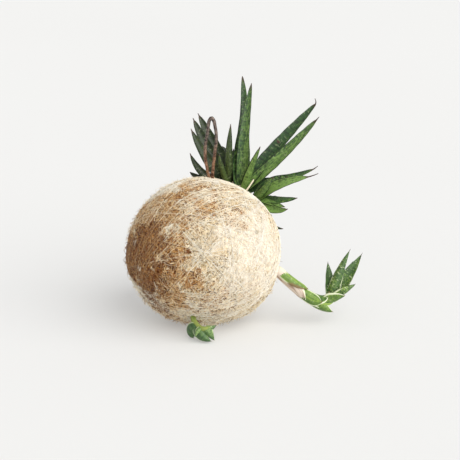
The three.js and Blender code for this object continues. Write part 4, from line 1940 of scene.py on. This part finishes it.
LEFT_SHOOT = LeafyShoot(
    "shoot_left", (15, 32.2, 76.2), (0.05, 0.25, 0.97),
    (
        Leaf(
            (-4.4, 49.8, 120.5), (8.7, 41.2, 99.5), 8.8, (0.2, -0.95, 0.2), 0.25, base=0.3,
            sway=(0.6, 0, 0),
        ),
        Leaf((-7.4, 43.2, 119), (2.4, 37.6, 98.3), 7.8, (0.3, -0.95, 0.1), 0.2, sway=(0.3, 0, 0)),
        Leaf((-8.5, 35.3, 113.9), (0.2, 31.6, 92.6), 7.6, (0.4, -0.85, 0.2), 0.3, base=0.3),
        Leaf((-9.2, 34.4, 98.1), (-3, 30.4, 80.6), 6.6, (0.3, -0.85, 0.4), 0.1, base=0.4),
        Leaf((-9.5, 38.4, 84.5), (-4.9, 36.4, 79.6), 4.4, (0.2, -0.8, 0.6), 0.1),
        Leaf((9.5, 22.4, 100.3), (10.1, 23.6, 91.2), 4.6, (0.2, 0.9, 0.3), 0.9, base=0.42, hair=0.02),
        Leaf((16.7, 28.9, 118.5), (15.2, 23.6, 96.5), 6.1, (-0.2, 0.95, 0), 0.6, base=0.45),
        Leaf((11, 62.8, 95.3), (13.5, 49, 92), 7, (0, -0.6, 0.8), 0.3),
        Leaf((0.6, 57, 90), (6, 46, 89), 6, (0.2, -0.5, 0.8), 0.5),
        Leaf((16.7, 34.5, 97), (19.2, 31.5, 85.4), 6.5, (0.1, -0.9, 0.3), 0.1, base=0.4),
    ),
    SHADED_LEAF,
)
TALL_SHOOT = LeafyShoot(
    "shoot_tall", (24.5, 28.7, 73.9), (0.14, 0.2, 0.97),
    (
        Leaf(
            (24.1, 47.2, 145.2), (22.1, 35, 98), 9.6, (0.2, -0.95, 0.2), 0.45, base=0.45, hair=0.014,
            sway=(-1.8, 0, 0),
        ),
        Leaf((29.8, 38.7, 142.5), (23, 31, 101), 7.8, (-0.2, -0.95, 0.2), 0.62, base=0.3, hair=0.02),
        Leaf((35.1, 18.1, 106.7), (28.8, 23.1, 89.6), 5.8, (-0.4, 0.8, 0.4), 0.8, base=0.35),
        Leaf(
            (72.5, 42.4, 130.4), (46.1, 35.8, 103.2), 8.9, (-0.4, -0.8, 0.5), 0.25, base=0.27, scar=0.52,
            curl=(-2.4, 0, 1.4), sway=(-0.2, 0, 0.2),
        ),
        Leaf((72.1, 28.1, 123.3), (49.6, 25.7, 96.7), 7.9, (-0.45, -0.75, 0.5), 0.75),
        Leaf((26.8, 71, 110), (25.6, 50, 92), 7.6, (0, -0.7, 0.7), 0.5),
        Leaf((55, 63, 97), (38, 46, 87), 7.6, (-0.4, -0.5, 0.8), 0.55),
        Leaf((44.3, 29.8, 82.9), (34.1, 28.3, 77.9), 9, (-0.3, -0.7, 0.6), 0.1, base=0.4),
        Leaf((18.3, 40.9, 99.4), (19.3, 36.2, 86.7), 7.5, (0.1, -0.9, 0.3), 0.1, base=0.4),
    ),
    CROWN_LEAF,
)
RIGHT_SHOOT = LeafyShoot(
    "shoot_right", (33, 23.6, 70), (0.45, 0.2, 0.87),
    (
        Leaf(
            (70.3, 19.5, 92.3), (43.3, 21.4, 86.3), 7, (-0.2, -0.8, 0.6), 0.6, base=0.45, scar=0.62,
            curl=(1, 0, 1.4), sway=(0, 0, 1.7),
        ),
        Leaf(
            (71.2, 10.9, 90.1), (45.4, 15.1, 85.3), 7.3, (-0.2, -0.8, 0.6), 1.0, base=0.3, hair=0.14,
            curl=(0, 0, 1.2),
        ),
        Leaf((43.3, 10.5, 89.2), (37.5, 15, 79.5), 4.8, (0.4, 0.8, 0.2), 0.8, base=0.35),
        Leaf((58.7, 15.9, 73.9), (45.9, 17.4, 70.3), 5, (0, -0.8, 0.6), 0.45),
        Leaf((50.8, 14.3, 68.5), (42.4, 17, 69.6), 4.4, (0.2, -0.7, 0.7), 0.95),
        Leaf((52.4, 8, 69.1), (41.2, 13.1, 63), 7.6, (0.2, -0.7, 0.7), 0.95, base=0.3),
        Leaf((50, 17.3, 53.1), (40, 38, 46.6), 4.6, (0.4, 0.5, 0.7), 0.3),
        Leaf((50, 50, 63), (42, 38, 68), 7, (-0.2, -0.2, 0.95), 0.5),
        Leaf((46, 52, 63), (38, 38, 68), 5.6, (0, 0, 1), 0.5),
    ),
    CROWN_LEAF,
)
RUNNER = YoungShoot(
    "runner_shoot",
    (
        (32, -1, 43), (39.5, -2.5, 37.4), (47.2, -4.5, 31.2), (54.5, -7.5, 25.4), (63.5, -10.5, 18.8),
        (71.5, -12.4, 15), (77, -12.6, 15), (81, -12, 17.6),
    ),
    2.8,
    (
        Scale(0.28, 0.745, 180, 178, kind=ScaleKind.PAPERY, lift=0.1, blunt=6),
        Scale(0.35, 0.66, -14, 82, 0.7, lift=0.7, blunt=2.4, worn=1.1),
        Scale(0.6, 0.86, -70, 68, 0.5, lift=1, blunt=4.5),
        Scale(0.6, 1.0, 0, 115, 0.4, lift=1, blunt=3),
        Scale(0.62, 0.92, 170, 95, 0.4),
    ),
    (
        Leaf((77.7, 1.6, 36.5), (77.7, -5.3, 26), 9.4, (0.5, -0.8, 0.1), 0.0, base=0.45),
        Leaf((91.2, -3.5, 46.6), (82, -10.1, 31), 8.4, (0.3, 0.9, 0), 0.3, base=0.45),
        Leaf((93.4, 0.8, 37), (86, -6, 28), 4.6, (-0.3, -0.7, 0.6), 0.3),
        Leaf((99, -1.5, 43.4), (88.4, -8.5, 27.4), 8.8, (-0.3, -0.9, 0.3), 0.35),
        Leaf((94.2, -13, 27), (87, -15, 22.5), 6.8, (-0.2, 0.8, 0.6), 0.4),
        Leaf((86, 4, 30), (80, -4, 23), 5, (0, -0.6, 0.8), 0.4),
    ),
    bracts=(
        Leaf((87.6, -18, 21.2), (81.2, -15.2, 18.5), 8.4, (-0.2, 0.9, 0.4), 0.45, at=0.88, base=0.12),
        Leaf((80.4, -16.1, 9.5), (73.3, -13.8, 11), 8.4, (-0.2, 0.9, 0.3), 0.5, at=0.7),
    ),
)
BUD = YoungShoot(
    "bottom_shoot",
    (
        (-3, -19, 25), (-4.8, -27, 17.6), (-6.2, -33, 12.2), (-4.4, -37.5, 9.9),
        (-2.2, -40.5, 8.8), (0.5, -42.6, 8.8), (4.2, -42.4, 9.3),
    ),
    1.7,
    (),
    (
        Leaf((-5.8, -39.2, 1.3), (-9, -36.1, 4.5), 9, (0.3, 0.9, 0.1), 0.25, at=0.75, base=0.12),
        Leaf((5.2, -44.5, 1.4), (-2.2, -44.6, 4.3), 9, (0.1, 0.95, -0.3), 0.35, at=0.8, base=0.42),
        Leaf((6.9, -42.4, 1.2), (3.5, -42.2, 5.3), 7, (0.2, 0.95, 0), 0.45, at=0.93, base=0.45),
        Leaf((8, -40.5, 10.4), (4.7, -41.1, 8.4), 4.2, (0.3, 0.8, -0.4), 0.6, at=0.95, base=0.4),
        Leaf(
            (-4.9, -45.5, 4.7), (-3.9, -44.8, 8.3), 3, (0.2, 0.9, 0.1), 0.7, at=0.82, base=0.3,
            hair=0.02,
        ),
    ),
    bark=BUD_STEM,
    finish=BUD_LEAF,
)


# The stage


@dataclass
class Studio:
    """Pale floor, soft light from the upper right and the photograph's view.

    The aim is how far right of the ball's centre and above it the middle of the picture is.
    """

    form: BallForm
    tilt: float = 18.0
    distance: float = 900.0
    seen_width: float = 287.5
    aim: tuple[float, float] = (16.25, 12.75)
    floor_half: float = 6000.0
    sun: float = 3.1
    sun_from: Triple = (0.85, -0.72, 0.8)
    sun_spread: float = 75.0
    sun_colour: Triple = (1.0, 0.985, 0.955)
    sky: float = 0.62
    sky_colour: Colour = (0.985, 0.99, 1.0, 1.0)
    sensor_width: float = 36.0
    clip_start: float = 10.0

    def build(self) -> list[bpy.types.Object]:
        """Sets the stage up.

        Returns:
            No pieces, because nothing of it belongs to the plant.
        """
        self._floor()
        self._light()
        self._camera()
        return []

    def _floor(self) -> None:
        """Makes the floor."""
        half = self.floor_half
        corners = np.array([(-half, -half, 0), (half, -half, 0), (half, half, 0), (-half, half, 0)], float)
        floor = Skin(corners, [(0, 1, 2, 3)]).piece("floor", STAGE)

    def _light(self) -> None:
        """Makes the soft sun and the pale sky."""
        lamp = bpy.data.lights.new("soft_sun", "SUN")
        lamp.energy = self.sun
        lamp.angle = math.radians(self.sun_spread)
        lamp.color = self.sun_colour
        sun = placed("soft_sun", lamp)
        sun.rotation_euler = Vector(self.sun_from).to_track_quat("Z", "Y").to_euler()
        world = bpy.data.worlds.new("pale_room")
        world.use_nodes = True
        world.node_tree.nodes.clear()
        graph = Graph(world.node_tree)
        glow = graph.value("ShaderNodeBackground", {}, {"Color": self.sky_colour, "Strength": self.sky})
        graph.node("ShaderNodeOutputWorld", {}, {"Surface": glow})
        bpy.context.scene.world = world
        bpy.context.scene.view_settings.view_transform = "Standard"

    def _camera(self) -> None:
        """Makes the camera, level sideways and looking down at the ball."""
        tilt = math.radians(self.tilt)
        up = Vector((0, math.sin(tilt), math.cos(tilt)))
        toward = Vector((0, -math.cos(tilt), math.sin(tilt)))
        place = Vector(self.form.centre) + toward * self.distance + up * self.aim[1]
        place += Vector((self.aim[0], 0, 0))
        lens = bpy.data.cameras.new("view")
        lens.sensor_width = self.sensor_width
        lens.lens = lens.sensor_width * self.distance / self.seen_width
        lens.clip_start = self.clip_start * MM
        camera = placed("view", lens)
        camera.location = place * MM
        camera.rotation_euler = (math.radians(90 - self.tilt), 0, 0)
        bpy.context.scene.camera = camera


def main() -> None:
    """Builds every sub-assembly in order, and says what each is made of."""
    logging.basicConfig(level=logging.INFO, format="%(message)s")
    form = BallForm()
    wire = WireLoop(form)
    rosettes = (LEFT_SHOOT, TALL_SHOOT, RIGHT_SHOOT)
    partings = [
        *(Parting(rosette.foot, 0.085, 0.2) for rosette in rosettes),
        Parting(RUNNER.path[2], 0.08, 0.2),
        Parting(BUD.path[2], 0.06, 0.16),
        Parting((*wire.foot, wire.foot_height), 0.03, 0.1),
    ]
    makers = (
        Studio(form), MossBall(form), ThreadWinding(form, partings), SoilBall(), wire, *rosettes, RUNNER, BUD
    )
    for maker in makers:
        for piece in maker.build():
            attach(piece, BODY)
            log.info("%s: %d faces", piece.name, len(piece.data.polygons))


if __name__ == "__main__":
    main()
